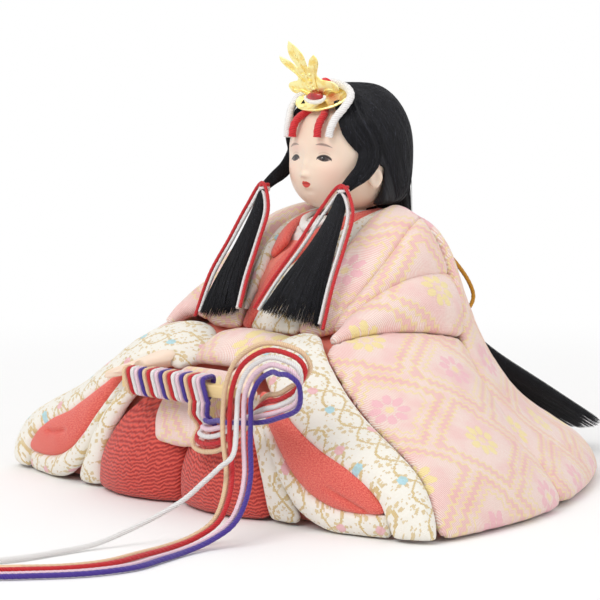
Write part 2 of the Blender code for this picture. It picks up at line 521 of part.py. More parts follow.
def loft(name, rings, material, sharp=smooth_angle):
    # A skin drawn over closed rings of equal count, with a closed end at each
    bm = bmesh.new()
    station = bm.verts.layers.int.new("station")
    count = len(rings[0])
    bmesh.ops.create_circle(bm, segments=count, radius=1)
    bm.verts.ensure_lookup_table()
    for i, v in enumerate(bm.verts):
        v[station] = i
        v.co = rings[0][i]
    edges = list(bm.edges)
    ends = [list(edges)]
    for ring in rings[1:]:
        grown = bmesh.ops.extrude_edge_only(bm, edges=edges)
        for g in grown["geom"]:
            if isinstance(g, bmesh.types.BMVert):
                g.co = ring[g[station]]
        edges = [g for g in grown["geom"] if isinstance(g, bmesh.types.BMEdge)]
        edges = [e for e in edges if e.is_boundary]
    ends.append(edges)
    for border in ends:
        face = bmesh.ops.contextual_create(bm, geom=border)["faces"]
        bmesh.ops.poke(bm, faces=face)
    return keep(name, bm, material, sharp)


def strand(name, path, widths, depths, material, away, count, power=round_power):
    # A flat hank or mitt: elliptical sections along a smooth path
    stations = even(count)
    line = smooth_row(path, stations)
    sizes = smooth_row([Vector((w, d, 0)) for w, d in zip(widths, depths)], stations)
    rings = []
    for i, centre in enumerate(line):
        run = (line[min(i + 1, count)] - line[max(i - 1, 0)]).normalized()
        out = Vector(away)
        out = (out - run * out.dot(run)).normalized()
        cross = run.cross(out)
        ring = []
        for s in range(strand_sides):
            turn = 2 * math.pi * s / strand_sides
            c, q = math.cos(turn), math.sin(turn)
            reach = (abs(c) ** power + abs(q) ** power) ** (-1 / power)
            ring.append(centre + cross * (c * reach * sizes[i].x) + out * (q * reach * sizes[i].y))
        rings.append(ring)
    return loft(name, rings, material)


def tube(name, points, radius, material, resolution=2):
    # One cord as a curve with a round bevel and filled ends
    curve = bpy.data.curves.new(name, "CURVE")
    curve.dimensions = "3D"
    curve.bevel_depth = radius
    curve.bevel_resolution = resolution
    curve.use_fill_caps = True
    spline = curve.splines.new("POLY")
    spline.points.add(len(points) - 1)
    for node, p in zip(spline.points, points):
        node.co = (*p, 1)
    curve.materials.append(finish(material))
    cord = bpy.data.objects.new(name, curve)
    bpy.context.scene.collection.objects.link(cord)
    made[name] = cord
    return cord


def cord(name, route, radius, material, steps, side=1):
    route = [Vector((side * p[0], p[1], p[2])) for p in route]
    return tube(name, smooth_row(route, even(steps)), radius, material)


def bake(part):
    # Replace a part's mesh by its evaluated one and drop its modifiers
    graph = bpy.context.evaluated_depsgraph_get()
    mesh = bpy.data.meshes.new_from_object(part.evaluated_get(graph))
    mesh.name = part.name
    part.modifiers.clear()
    part.data = mesh


def merge(part, tool, operation):
    cut = part.modifiers.new(tool.name, "BOOLEAN")
    cut.operation = operation
    cut.object = tool
    bake(part)


def discard(part):
    made.pop(part.name, None)
    bpy.data.objects.remove(part)


def swollen(part, gap=clearance):
    # A copy grown by the clearance, to cut a neighbour with
    mesh = part.to_mesh() if part.type == "CURVE" else part.data
    bm = bmesh.new()
    bm.from_mesh(mesh)
    bmesh.ops.remove_doubles(bm, verts=bm.verts, dist=clearance / 10)
    bm.normal_update()
    moves = [(v, v.normal * gap * v.calc_shell_factor()) for v in bm.verts]
    for v, move in moves:
        v.co += move
    grown = keep(part.name + "_tool", bm, "core_wood")
    grown.hide_render = True
    grown.display_type = "WIRE"
    return grown


def carve(part, tools, gap=clearance):
    for other in tools:
        tool = swollen(other, gap)
        merge(part, tool, "DIFFERENCE")
        discard(tool)
    keep_largest(part)


def keep_largest(part):
    # Crumbs that a cut leaves behind are swept away
    bm = bmesh.new()
    bm.from_mesh(part.data)
    left = set(bm.verts)
    groups = []
    while left:
        group, front = set(), [left.pop()]
        while front:
            v = front.pop()
            group.add(v)
            for e in v.link_edges:
                other = e.other_vert(v)
                if other in left:
                    left.discard(other)
                    front.append(other)
        groups.append(group)
    groups.sort(key=len)
    crumbs = [v for group in groups[:-1] for v in group]
    bmesh.ops.delete(bm, geom=crumbs, context="VERTS")
    bm.to_mesh(part.data)
    bm.free()


def round_bar(name, radius, low, high, material, sides):
    bm = bmesh.new()
    bmesh.ops.create_cone(bm, cap_ends=True, segments=sides, radius1=radius, radius2=radius, depth=high - low)
    bmesh.ops.translate(bm, verts=bm.verts, vec=(0, 0, (high + low) / 2))
    return keep(name, bm, material)


def blob(name, centre, sizes, material, sides, rings):
    bm = bmesh.new()
    bmesh.ops.create_uvsphere(bm, u_segments=sides, v_segments=rings, radius=1)
    bmesh.ops.scale(bm, verts=bm.verts, vec=sizes)
    bmesh.ops.translate(bm, verts=bm.verts, vec=centre)
    return keep(name, bm, material)


def build_core():
    rings = []
    for row in core_rings_shares:
        half = [spot(p) for p in row]
        whole = half + [Vector((-p.x, p.y, p.z)) for p in reversed(half[1:-1])]
        count = 2 * (len(half) - 1) * 2
        ring = smooth_row(whole, even(count), closed=True)[:-1]
        rings.append(ring)
    core = loft("core_body", rings, "core_wood")
    board = [[Vector((p.x * board_draw_share, p.y * board_draw_share, z)) for p in rings[0]]
             for z in (0, board_thickness)]
    loft("base_sheet", board, "base_paper", sheet_angle)
    return core


def build_robe():
    for side, label in ((1, "left"), (-1, "right")):
        quilt("sleeve_" + label,
              [sleeve_top_shares, sleeve_upper_shares, sleeve_middle_shares, sleeve_lower_shares,
               sleeve_floor_shares], "rose_brocade", (9, 9), side, tucked=(False, True, True, False))
        quilt("arm_fold_" + label, [second_fold_shares, arm_fold_middle_shares, third_fold_shares],
              "rose_brocade", (7, 5), side, power=round_power)
        quilt("arm_upper_" + label, [first_fold_shares, arm_upper_middle_shares, second_fold_shares],
              "rose_brocade", (7, 5), side, power=round_power)
        edge = robe_edge_left_shares if side > 0 else robe_edge_right_shares
        quilt("robe_front_" + label, [edge, robe_front_middle_shares, first_fold_shares],
              "rose_brocade", (7, 5), side)
        quilt("sleeve_cuff_" + label, [cuff_inner_shares, cuff_outer_shares], "cream_brocade",
              (13, 5), side, puff=band_puff, power=round_power, tucked=(True, False, True, True))
        quilt("sleeve_lining_" + label, [lining_lower_shares, lining_upper_shares], "coral_crepe",
              (8, 4), side, puff=lining_puff, power=round_power)
        quilt("sleeve_hem_" + label, [hem_lower_shares, hem_upper_shares], "cream_brocade",
              (8, 4), side, puff=lining_puff, power=round_power)
        quilt("sleeve_fold_" + label, [fold_inner_shares, fold_outer_shares], "cream_brocade",
              (6, 4), side, puff=lining_puff, power=round_power, tucked=(True, False, True, True))
        quilt("hakama_" + label, [knee_inner_shares, knee_middle_shares, knee_outer_shares],
              "scarlet_crepe", (8, 8), side, puff=knee_puff, power=round_power,
              tucked=(True, False, True, True))
    rows = []
    for row in back_rows_shares:
        rows.append(row + [(-a, f, u) for a, f, u in reversed(row[:-1])])
    quilt("robe_back", rows, "rose_brocade", (14, 12), tucked=(False, False, True, False))
    quilt("lap_panel", lap_rows_shares, "rose_brocade", (6, 5), power=round_power)
    quilt("waist_panel", waist_rows_shares, "rose_brocade", (6, 5), power=round_power)


def build_collars():
    thin = {"puff": collar_puff, "edge": collar_edge, "under": collar_under, "power": round_power}
    quilt("chest_panel", [chest_inner_shares, chest_outer_shares], "cream_brocade", (10, 4), **thin)
    quilt("collar_coral_left", [coral_left_outer_shares, coral_left_inner_shares], "coral_crepe",
          (10, 3), **thin)
    quilt("collar_coral_right", [coral_right_inner_shares, coral_right_outer_shares], "coral_crepe",
          (6, 3), **thin)
    quilt("collar_cream_right", [cream_right_outer_shares, cream_right_inner_shares],
          "cream_brocade", (8, 3), **thin)
    quilt("collar_white", [white_outer_shares, white_inner_shares], "white_silk", (10, 3), **thin)


def settle_panels():
    # Where one piece of cloth lies over the next, the lower one gives way
    waist = made["waist_panel"]
    for label in ("left", "right"):
        cuff = made["sleeve_cuff_" + label]
        carve(made["arm_upper_" + label], [made["robe_front_" + label]])
        carve(made["sleeve_lining_" + label], [cuff])
        carve(made["hakama_" + label], [made["lap_panel"]])
        carve(made["hand_" + label], [cuff])
        carve(waist, [cuff])


def sized(half, shares):
    return [half * s for s in shares]


def build_fan_room():
    # The space of the wrapped fan and of its way out, which the fingers close on
    seat = spot(fan_seat_shares)
    grip_depth = fan_thickness / 2 + wrap_lift + fan_cord_radius * 2
    grip_height = fan_height / 2 + wrap_lift + fan_cord_radius * 2
    bm = bmesh.new()
    bmesh.ops.create_cube(bm, size=2)
    for v in bm.verts:
        forward = fan_travel if v.co.y < 0 else 0
        along = fan_length * (1 + v.co.x) / 2
        v.co = seat + Vector((along, grip_depth * v.co.y - forward, grip_height * v.co.z))
    return keep("fan_room", bm, "fan_wood")


def build_hands():
    widths = sized(hand_half_width, hand_width_shares)
    depths = sized(hand_half_depth, hand_depth_shares)
    room = build_fan_room()
    for side, label in ((1, "left"), (-1, "right")):
        path = [spot(p, side) for p in hand_path_shares]
        hand = strand("hand_" + label, path, widths, depths, "skin_glaze", (0, 0, 1), hand_rings)
        carve(hand, [room])
    discard(room)


def squared(c, s, power):
    # How far a rounded square reaches in the direction given by a cosine and a sine
    return (abs(c) ** power + abs(s) ** power) ** (-1 / power)


def head_surface(v, gap):
    # A smooth egg, flat in front, with full cheeks, a small nose and lips
    x, y, z = v
    flat = math.hypot(x, y)
    if flat:
        reach = squared(x / flat, y / flat, cheek_power)
        if z < 0:
            fullness = max(0, 1 - abs(z) ** jaw_power) ** (1 / jaw_power)
            reach = reach * fullness / flat
        x, y = x * reach, y * reach
    if z < 0:
        x = x * (1 - jaw_draw_share * z * z)
    place = Vector((x * (head_half_width + gap), y * (head_half_depth + gap), z * (head_half_height + gap)))
    if y < 0:
        for length, width, drop in ((nose_length, nose_width, nose_drop),
        (lip_length, lip_width, lip_drop)):
            far = (place.x / width) ** 2 + ((place.z + drop) / width) ** 2
            place.y -= length * math.exp(-far)
    return place + Vector((0, -head_forward, head_rise))


def build_egg(name, gap=0):
    bm = bmesh.new()
    bmesh.ops.create_uvsphere(bm, u_segments=head_sides, v_segments=head_rings, radius=1)
    for v in bm.verts:
        v.co = head_surface(v.co, gap)
    return keep(name, bm, "skin_glaze")


def build_neck(name, gap=0):
    top = head_rise - head_half_height + neck_sink
    return round_bar(name, neck_radius + gap, neck_foot - gap, top, "skin_glaze", head_sides)


def clear_head(part):
    # Room for the head and neck, with the usual clearance
    for tool in (build_egg("egg_tool", clearance), build_neck("neck_tool", clearance)):
        merge(part, tool, "DIFFERENCE")
        discard(tool)
    keep_largest(part)


def build_head():
    head = build_egg("head")
    pieces = [build_neck("neck_tool")]
    for side in (1, -1):
        place = (side * head_half_width, -ear_forward, head_rise - ear_drop)
        size = (ear_half_width, ear_half_depth, ear_half_height)
        pieces.append(blob("ear_tool_" + str(side), place, size, "skin_glaze", ear_sides, ear_rings))
    for piece in pieces:
        merge(head, piece, "UNION")
        discard(piece)


def build_peg():
    high = neck_foot + peg_sink
    peg = round_bar("neck_peg", peg_radius, high - peg_length, high, "peg_wood", peg_sides)
    carve(made["head"], [peg])
    carve(made["core_body"], [peg])


def build_cap():
    rings = []
    for up, wide, front, back in hair_rings_shares:
        shift = hair_lean * up
        ring = []
        for i in range(hair_sides):
            turn = 2 * math.pi * i / hair_sides
            c, s = math.cos(turn), math.sin(turn)
            depth = hair_front * front + shift if s < 0 else hair_back * back - shift
            ring.append(Vector((hair_half_width * wide * c, shift + depth * s, hair_foot + hair_height * up)))
        rings.append(ring)
    cap = loft("hair_cap", rings, "black_silk")
    reach = hair_front * 2
    bm = bmesh.new()
    bmesh.ops.create_circle(bm, cap_ends=True, segments=window_sides, radius=1)
    for v in bm.verts:
        arch = temple_rise + v.co.y * (brow_rise - temple_rise)
        up = arch if v.co.y > -1 / window_sides else -hair_drop * 2
        v.co = Vector((v.co.x * window_half_width, -reach, head_rise + up))
    grown = bmesh.ops.extrude_face_region(bm, geom=list(bm.faces))
    tops = [g for g in grown["geom"] if isinstance(g, bmesh.types.BMVert)]
    bmesh.ops.translate(bm, verts=tops, vec=(0, reach - temple_depth, 0))
    window = keep("window_tool", bm, "core_wood")
    bm = bmesh.new()
    bmesh.ops.create_cube(bm, size=2)
    for v in bm.verts:
        v.co = Vector((v.co.x * reach, v.co.y * reach - reach - cheek_depth,
                       v.co.z * reach - reach + head_rise - cheek_drop))
    cheeks = keep("cheek_tool", bm, "core_wood")
    for tool in (window, cheeks):
        merge(cap, tool, "DIFFERENCE")
        discard(tool)
    clear_head(cap)
    return cap


def build_hair(cap):
    tail = strand("hair_tail", [spot(p) for p in tail_path_shares], sized(tail_half_width, tail_width_shares),
                  sized(tail_half_depth, tail_depth_shares), "black_silk", (0, 1, 1), tail_rings, tail_power)
    carve(tail, [cap])
    for side, label in ((1, "left"), (-1, "right")):
        lock = strand("side_lock_" + label, [head_spot(p, side) for p in lock_path_shares],
                      sized(lock_half_width, lock_width_shares), sized(lock_half_depth, lock_depth_shares),
                      "black_silk", (side, -1, 0), lock_rings)
        clear_head(lock)
        carve(lock, [cap])
        tuft = strand("side_tuft_" + label, [head_spot(p, side) for p in tuft_path_shares],
                      sized(tuft_half_width, tuft_width_shares), sized(tuft_half_depth, tuft_depth_shares),
                      "black_silk", (side * tuft_toe_share, -1, 0), tuft_rings, tuft_power)
        carve(tuft, [lock])
        cord("tie_cord_red_" + label, tie_red_route, tie_cord_radius, "red_cord", tie_steps, side)
        cord("tie_cord_white_" + label, tie_white_route, tie_cord_radius, "white_cord", tie_steps, side)


def on_plate(x, slope, lift):
    # A place on the tilted crown plate: across, up its slope, and off its face
    return Vector((x, -plate_forward + slope * math.cos(plate_tilt) - lift * math.sin(plate_tilt),
                   plate_rise + slope * math.sin(plate_tilt) + lift * math.cos(plate_tilt)))


def build_plate():
    rings = []
    levels = [(1, 0), (1, plate_thickness)]
    levels += [(share, plate_thickness - plate_dish) for share in plate_bowl_shares]
    for share, lift in levels:
        ring = []
        for i in range(plate_sides):
            turn = 2 * math.pi * i / plate_sides
            ring.append(on_plate(plate_half_width * share * math.cos(turn),
                                 plate_half_depth * share * math.sin(turn), lift))
        rings.append(ring)
    plate = loft("crown_plate", rings, "gilt_brass", sheet_angle)
    pin = round_bar("pin_tool", pin_radius, -pin_length, plate_thickness / 3, "gilt_brass", pin_sides)
    tilt = Matrix.Rotation(plate_tilt, 3, "X")
    for v in pin.data.vertices:
        v.co = tilt @ v.co + on_plate(0, 0, 0)
    carve(made["hair_cap"], [pin])
    carve(made["head"], [pin])
    merge(plate, pin, "UNION")
    discard(pin)
    return plate


def build_crown():
    plate = build_plate()
    bm = bmesh.new()
    verts = [bm.verts.new((a * spray_half_width, 0, b * spray_height)) for a, b in spray_outline_shares]
    face = bm.faces.new(verts)
    grown = bmesh.ops.extrude_face_region(bm, geom=[face])
    tops = [g for g in grown["geom"] if isinstance(g, bmesh.types.BMVert)]
    bmesh.ops.translate(bm, verts=tops, vec=(0, spray_thickness, 0))
    lean = Matrix.Rotation(spray_lean, 3, "X")
    foot = Vector((0, -plate_forward - spray_step, plate_rise - spray_drop))
    for v in bm.verts:
        v.co = lean @ v.co + foot
    bmesh.ops.triangulate(bm, faces=bm.faces)
    spray = keep("crown_spray", bm, "gilt_brass", sheet_angle)
    carve(plate, [spray])
    blob("crown_knot", on_plate(0, knot_slope, plate_thickness + knot_radius + clearance),
         (knot_radius, knot_radius, knot_radius), "red_cord", knot_sides, knot_rings)
    cord("crown_cord_white", crown_white_route, crown_cord_radius, "white_cord", crown_steps)
    cord("crown_cord_red", crown_red_route, crown_cord_radius, "red_cord", crown_steps)


def build_fan():
    seat = spot(fan_seat_shares)
    bm = bmesh.new()
    bmesh.ops.create_cube(bm, size=1)
    for v in bm.verts:
        taper = fan_taper_share if v.co.x > 0 else 1
        v.co = seat + Vector((fan_length / 2 + v.co.x * fan_length, v.co.y * fan_thickness,
                              v.co.z * fan_height * taper))
    fan = keep("fan", bm, "fan_wood", sheet_angle)
    for i in range(fan_slots):
        place = fan_thickness * ((i + 1) / (fan_slots + 1) - 1 / 2)
        bm = bmesh.new()
        bmesh.ops.create_cube(bm, size=1)
        for v in bm.verts:
            v.co = seat + Vector((fan_length / 2 + v.co.x * fan_length * 2, place + v.co.y * fan_slot_width,
                                  fan_height / 2 + v.co.z * fan_slot_depth * 2))
        slot = keep("slot_tool", bm, "fan_wood")
        merge(fan, slot, "DIFFERENCE")
        discard(slot)


def wrap_point(start, turn):
    # A place on the winding: one strand going round the rounded bar
    grip_depth = fan_thickness / 2 + fan_cord_radius + wrap_lift
    grip_height = fan_height / 2 + fan_cord_radius + wrap_lift
    angle = 2 * math.pi * turn + math.pi / 2
    c, s = math.cos(angle), math.sin(angle)
    reach = squared(c, s, wrap_power)
    return start + Vector((wrap_pitch * turn, -grip_depth * c * reach, grip_height * s * reach))


def least_gap(points, radius):
    # The narrowest gap between one turn of a winding and the next, measured on its points
    near = [(a - b).length for i, a in enumerate(points) for b in points[i + wrap_points // 2:]]
    return min(near) - 2 * radius


def ribbon_strand(k, name):
    # One of the strands that lie side by side in the bow and on the floor
    offset = (k - (len(strand_names) - 1) / 2) * ribbon_pitch
    points = [Vector(place) + Vector(spread) * offset for place, spread in ribbon_route]
    if name == "white":
        points = points[:white_parting] + [Vector(p) for p in white_tail_route]
    return points


def build_wraps():
    down = Vector((0, 0, -1))
    count = round(wrap_turns * wrap_points)
    stations = [(i / fan_cord_steps) ** fan_cord_crowding for i in range(fan_cord_steps + 1)]
    for k, name in enumerate(strand_names):
        start = spot(fan_seat_shares) + Vector((wrap_start + wrap_pitch * k / len(strand_names), 0, 0))
        points = [wrap_point(start, wrap_turns * i / count) for i in range(count + 1)]
        points.append(points[-1] + Vector((0, -wrap_bend, -wrap_bend)))
        points.append(points[-1] + down * wrap_run)
        tube("fan_wrap_" + name, points, fan_cord_radius, name + "_cord", 1)
        gap = least_gap(points, fan_cord_radius) * 1000
        print("fan_wrap_" + name, "least gap to itself, mm:", round(gap, 2))
        leaves = points[-1] + down * clearance
        route = [leaves, leaves + down * wrap_run] + ribbon_strand(k, name)
        tube("fan_cord_" + name, smooth_row(route, stations), fan_cord_radius, name + "_cord")


def hang(axis_name, place, names):
    # An empty on a joint's axis carries the pieces that move on it
    axis = bpy.data.objects.new(axis_name, None)
    axis.location = place
    bpy.context.scene.collection.objects.link(axis)
    for name in names:
        made[name].parent = axis
        made[name].location = -Vector(place)
    return axis


def build_axes():
    # The crown rides on the head's empty, as it goes where the head goes
    crown = [name for name in made if name.startswith("crown_")]
    fan = [name for name in made if name.startswith("fan")]
    head = [name for name in made if name.startswith(("head", "neck", "hair", "side", "tie"))]
    head_axis = hang("head_axis", Vector((0, 0, neck_foot)), head)
    crown_axis = hang("crown_axis", on_plate(0, 0, 0), crown)
    hang("fan_axis", spot(fan_seat_shares), fan)
    crown_axis.parent = head_axis
    crown_axis.location = on_plate(0, 0, 0) - head_axis.location


def main():
    for obj in list(bpy.data.objects):
        bpy.data.objects.remove(obj)
    core = build_core()
    build_robe()
    build_collars()
    build_hands()
    settle_panels()
    panels = [part for part in made.values() if part.name not in ("core_body", "base_sheet")]
    carve(core, panels)
    build_head()
    build_hair(build_cap())
    build_peg()
    build_crown()
    build_fan()
    build_wraps()
    cord("back_loop_cord", back_loop_route, loop_cord_radius, "gold_cord", loop_steps)
    build_axes()


main()
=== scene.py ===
# A seated court-lady doll for a spring display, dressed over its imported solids.
# Metres, +Z up. The doll faces -Y and its own left hand is towards +X.

import math
import random

import bmesh
import bpy
from mathutils import Matrix, Vector, noise
from mathutils.bvhtree import BVHTree


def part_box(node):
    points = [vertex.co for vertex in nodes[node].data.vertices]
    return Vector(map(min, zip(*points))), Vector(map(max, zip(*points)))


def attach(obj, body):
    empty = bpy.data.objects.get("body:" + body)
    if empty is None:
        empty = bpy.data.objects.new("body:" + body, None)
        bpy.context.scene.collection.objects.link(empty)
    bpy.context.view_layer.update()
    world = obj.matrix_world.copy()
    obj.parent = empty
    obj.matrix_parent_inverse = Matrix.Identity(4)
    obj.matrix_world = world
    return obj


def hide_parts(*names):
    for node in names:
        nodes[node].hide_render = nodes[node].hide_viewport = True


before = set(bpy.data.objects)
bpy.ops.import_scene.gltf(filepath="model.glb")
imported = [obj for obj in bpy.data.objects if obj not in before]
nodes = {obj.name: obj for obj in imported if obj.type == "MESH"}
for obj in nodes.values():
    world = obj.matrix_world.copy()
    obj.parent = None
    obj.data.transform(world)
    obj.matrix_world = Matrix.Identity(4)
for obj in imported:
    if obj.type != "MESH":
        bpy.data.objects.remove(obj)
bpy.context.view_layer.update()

mm = 0.001
sides = {"left": 1, "right": -1}   # the doll's own left is +X


# Camera and studio

view = {
    "azimuth": 46.0,       # degrees round from the front towards the doll's left
    "elevation": 5.15,
    "distance": 0.700,
    "lens": 129.08,        # mm, on a 36 mm sensor
    "aimAcross": -0.0151,  # the aim lies this far across the picture from the neck
    "aimUp": 0.0574,       # and this far up it; the lamps aim at this height too
}

studio = {
    "floorRadius": 4.0,
    "floorSegments": 96,
    "floorColour": (0.93, 0.925, 0.92),
    "floorGrain": (0.86, 0.85, 0.85),
    "fadeStart": 0.16,     # from here the floor fades into the white behind it
    "fadeEnd": 0.55,
    "skyStrength": 0.62,
    "lamps": {             # across and up the picture, towards the camera, watts, size
        "key": ((-0.75, 1.00, 0.75), 9.0, 0.90),
        "fill": ((0.95, 0.45, 0.80), 3.2, 1.00),
        "top": ((0.10, 1.30, -0.35), 3.6, 1.10),
    },
}


def linked(name, data):
    item = bpy.data.objects.new(name, data)
    bpy.context.scene.collection.objects.link(item)
    return item


def aimed(way):
    # Turns +Z to point along a way
    return way.to_track_quat("Z", "Y").to_matrix().to_4x4()


def tilted(degrees, axis="X"):
    return Matrix.Rotation(math.radians(degrees), 4, axis)


def spot(place, turn=Matrix(), size=(1, 1, 1)):
    # Sizes, turns and then moves what is made at the origin
    return Matrix.Translation(place) @ turn @ Matrix.Diagonal((*size, 1))


def viewAxes():
    # Across the picture, up it and towards the camera
    azimuth = math.radians(view["azimuth"])
    elevation = math.radians(view["elevation"])
    back = Vector((math.sin(azimuth) * math.cos(elevation), -math.cos(azimuth) * math.cos(elevation),
                   math.sin(elevation)))
    right = Vector((math.cos(azimuth), math.sin(azimuth), 0))
    return right, back.cross(right), back


def placeCamera():
    right, up, back = viewAxes()
    aim = right * view["aimAcross"] + up * view["aimUp"]
    turn = Matrix((right, up, back)).transposed().to_4x4()
    data = bpy.data.cameras.new("camera")
    data.lens = view["lens"]
    camera = linked("camera", data)
    camera.matrix_world = spot(aim + back * view["distance"], turn)
    bpy.context.scene.camera = camera


def placeLamps():
    right, back = viewAxes()[::2]
    middle = Vector((0, 0, view["aimUp"]))
    for name, ((across, high, near), power, size) in studio["lamps"].items():
        place = middle + right * across + Vector((0, 0, high)) + back * near
        data = bpy.data.lights.new(name, "AREA")
        data.energy = power
        data.size = size
        linked(name, data).matrix_world = spot(place, aimed(place - middle))
    print("studio lit")


# Shader sums

class Value:
    # A number socket that takes part in sums; each sum adds its Math node
    def __init__(self, finish, socket):
        self.finish = finish
        self.socket = socket

    def wave(self, period):
        return (self / period * (2 * math.pi)).sine()

    def fromMiddle(self):
        # How far a place lies from the middle of its cell, where cells are 1 wide
        return self.fraction() - 0.5

    def arch(self):
        # 1 in the middle of a span from -1 to 1, and 0 at its ends and past them
        return (1.0 - self * self).most(0.0)


sums = {
    "__add__": "ADD", "__sub__": "SUBTRACT", "__mul__": "MULTIPLY", "__truediv__": "DIVIDE",
    "__pow__": "POWER", "__lt__": "LESS_THAN", "__gt__": "GREATER_THAN",
    "__radd__": "ADD", "__rsub__": "SUBTRACT", "__rmul__": "MULTIPLY",
    "least": "MINIMUM", "most": "MAXIMUM", "angle": "ARCTAN2", "floor": "FLOOR", "fraction": "FRACT",
    "size": "ABSOLUTE", "root": "SQRT", "sine": "SINE", "cosine": "COSINE",
}


def sumMethod(operation, reflected):
    def method(self, *others):
        terms = (*others, self) if reflected else (self, *others)
        return self.finish.math(operation, *terms)
    return method


for methodName, operationName in sums.items():
    setattr(Value, methodName, sumMethod(operationName, methodName.startswith("__r")))


def spanOf(a, b):
    return (a * a + b * b).root()


class Finish:
    # One material, or the world, and the nodes that paint it
    def __init__(self, name, settings, kind="materials"):
        self.material = getattr(bpy.data, kind).new(name)
        self.material.use_nodes = True
        self.tree = self.material.node_tree
        self.shader = self.tree.nodes.get("Principled BSDF")
        for key, value in settings.items():
            self.shader.inputs[key].default_value = value

    def node(self, kind, settings, sockets):
        made = self.tree.nodes.new(kind)
        for key, value in settings.items():
            setattr(made, key, value)
        for socket in made.inputs:
            if socket.identifier in sockets:
                self.feed(socket, sockets[socket.identifier])
        return made

    def feed(self, socket, value):
        if isinstance(value, Value):
            value = value.socket
        if isinstance(value, bpy.types.NodeSocket):
            self.tree.links.new(value, socket)
        elif isinstance(value, tuple) and len(value) == 3 and socket.type == "RGBA":
            socket.default_value = (*value, 1)
        else:
            socket.default_value = value

    def math(self, operation, *terms):
        names = ["Value", "Value_001", "Value_002"]
        made = self.node("ShaderNodeMath", {"operation": operation}, dict(zip(names, terms)))
        return Value(self, made.outputs[0])

    def attribute(self, name):
        return self.node("ShaderNodeAttribute", {"attribute_name": name}, {}).outputs["Vector"]

    def place(self, scale=1 / mm, centre=(0, 0, 0)):
        # Object coordinates, in millimetres from a centre that is given in metres
        where = self.node("ShaderNodeTexCoord", {}, {}).outputs["Object"]
        shift = tuple(-c * scale for c in centre)
        sockets = {"Vector": where, "Location": shift, "Scale": (scale, scale, scale)}
        return self.node("ShaderNodeMapping", {}, sockets).outputs[0]

    def split(self, vector):
        made = self.node("ShaderNodeSeparateXYZ", {}, {"Vector": vector})
        return [Value(self, socket) for socket in made.outputs]


    def join(self, x, y, z=0.0):
        return self.node("ShaderNodeCombineXYZ", {}, {"X": x, "Y": y, "Z": z}).outputs[0]

    def noise(self, vector, scale, detail=2.0, roughness=0.5):
        sockets = {"Vector": vector, "Scale": scale, "Detail": detail, "Roughness": roughness}
        return Value(self, self.node("ShaderNodeTexNoise", {}, sockets).outputs[0])

    def streaks(self, places, counts, detail=2.0, roughness=0.5):
        # Noise that changes the faster along a way, the larger that way's count is
        vector = self.join(*[place * count for place, count in zip(places, counts)])
        return self.noise(vector, 1.0, detail, roughness)

    def cells(self, vector, scale, spread=1.0):
        made = self.node("ShaderNodeTexVoronoi", {}, {"Vector": vector, "Scale": scale, "Randomness": spread})
        return Value(self, made.outputs["Distance"])

    def ramp(self, value, low, high):
        # 0 below low and 1 over high, with a soft change between
        sockets = {"Value": value, "From Min": low, "From Max": high}
        made = self.node("ShaderNodeMapRange", {"interpolation_type": "SMOOTHSTEP"}, sockets)
        return Value(self, made.outputs[0])

    def fade(self, value, low, high):
        return 1.0 - self.ramp(value, low, high)

    def mix(self, share, first, second):
        sockets = {"Factor_Float": share, "A_Color": first, "B_Color": second}
        made = self.node("ShaderNodeMix", {"data_type": "RGBA"}, sockets)
        return [s for s in made.outputs if s.identifier == "Result_Color"][0]

    def bump(self, height, depth, strength=1.0):
        # depth is in metres for a height of 1
        sockets = {"Height": height, "Distance": depth, "Strength": strength}
        self.feed(self.shader.inputs["Normal"], self.node("ShaderNodeBump", {}, sockets).outputs[0])

    def paint(self, colour, roughness=None):
        self.feed(self.shader.inputs["Base Color"], colour)
        if roughness is not None:
            self.feed(self.shader.inputs["Roughness"], roughness)
        return self.material


def colour(red, green, blue):
    # A screen colour of 0 to 255 as Blender's linear one
    made = []
    for part in (red, green, blue):
        share = part / 255
        made.append(share / 12.92 if share <= 0.04045 else ((share + 0.055) / 1.055) ** 2.4)
    return tuple(made)


def litSurround(finish, lit, shown):
    # Camera, glossy and transmission rays meet the shown shader, and all others the lit one
    rays = finish.node("ShaderNodeLightPath", {}, {})
    seen = Value(finish, rays.outputs["Is Camera Ray"])
    for name in ("Is Glossy Ray", "Is Transmission Ray"):
        seen = seen.most(Value(finish, rays.outputs[name]))
    sockets = {"Fac": seen, "Shader": lit, "Shader_001": shown}
    return finish.node("ShaderNodeMixShader", {}, sockets).outputs[0]


def grainFinish(name, settings, grain, tints, rough, relief=None):
    # A plain finish whose tint, gloss and relief follow one grain
    finish = Finish(name, settings)
    pattern = finish.noise(finish.place(), *grain)
    if relief:
        finish.bump(pattern, *relief)
    return finish.paint(finish.mix(pattern, *tints), rough[0] + pattern * rough[1])


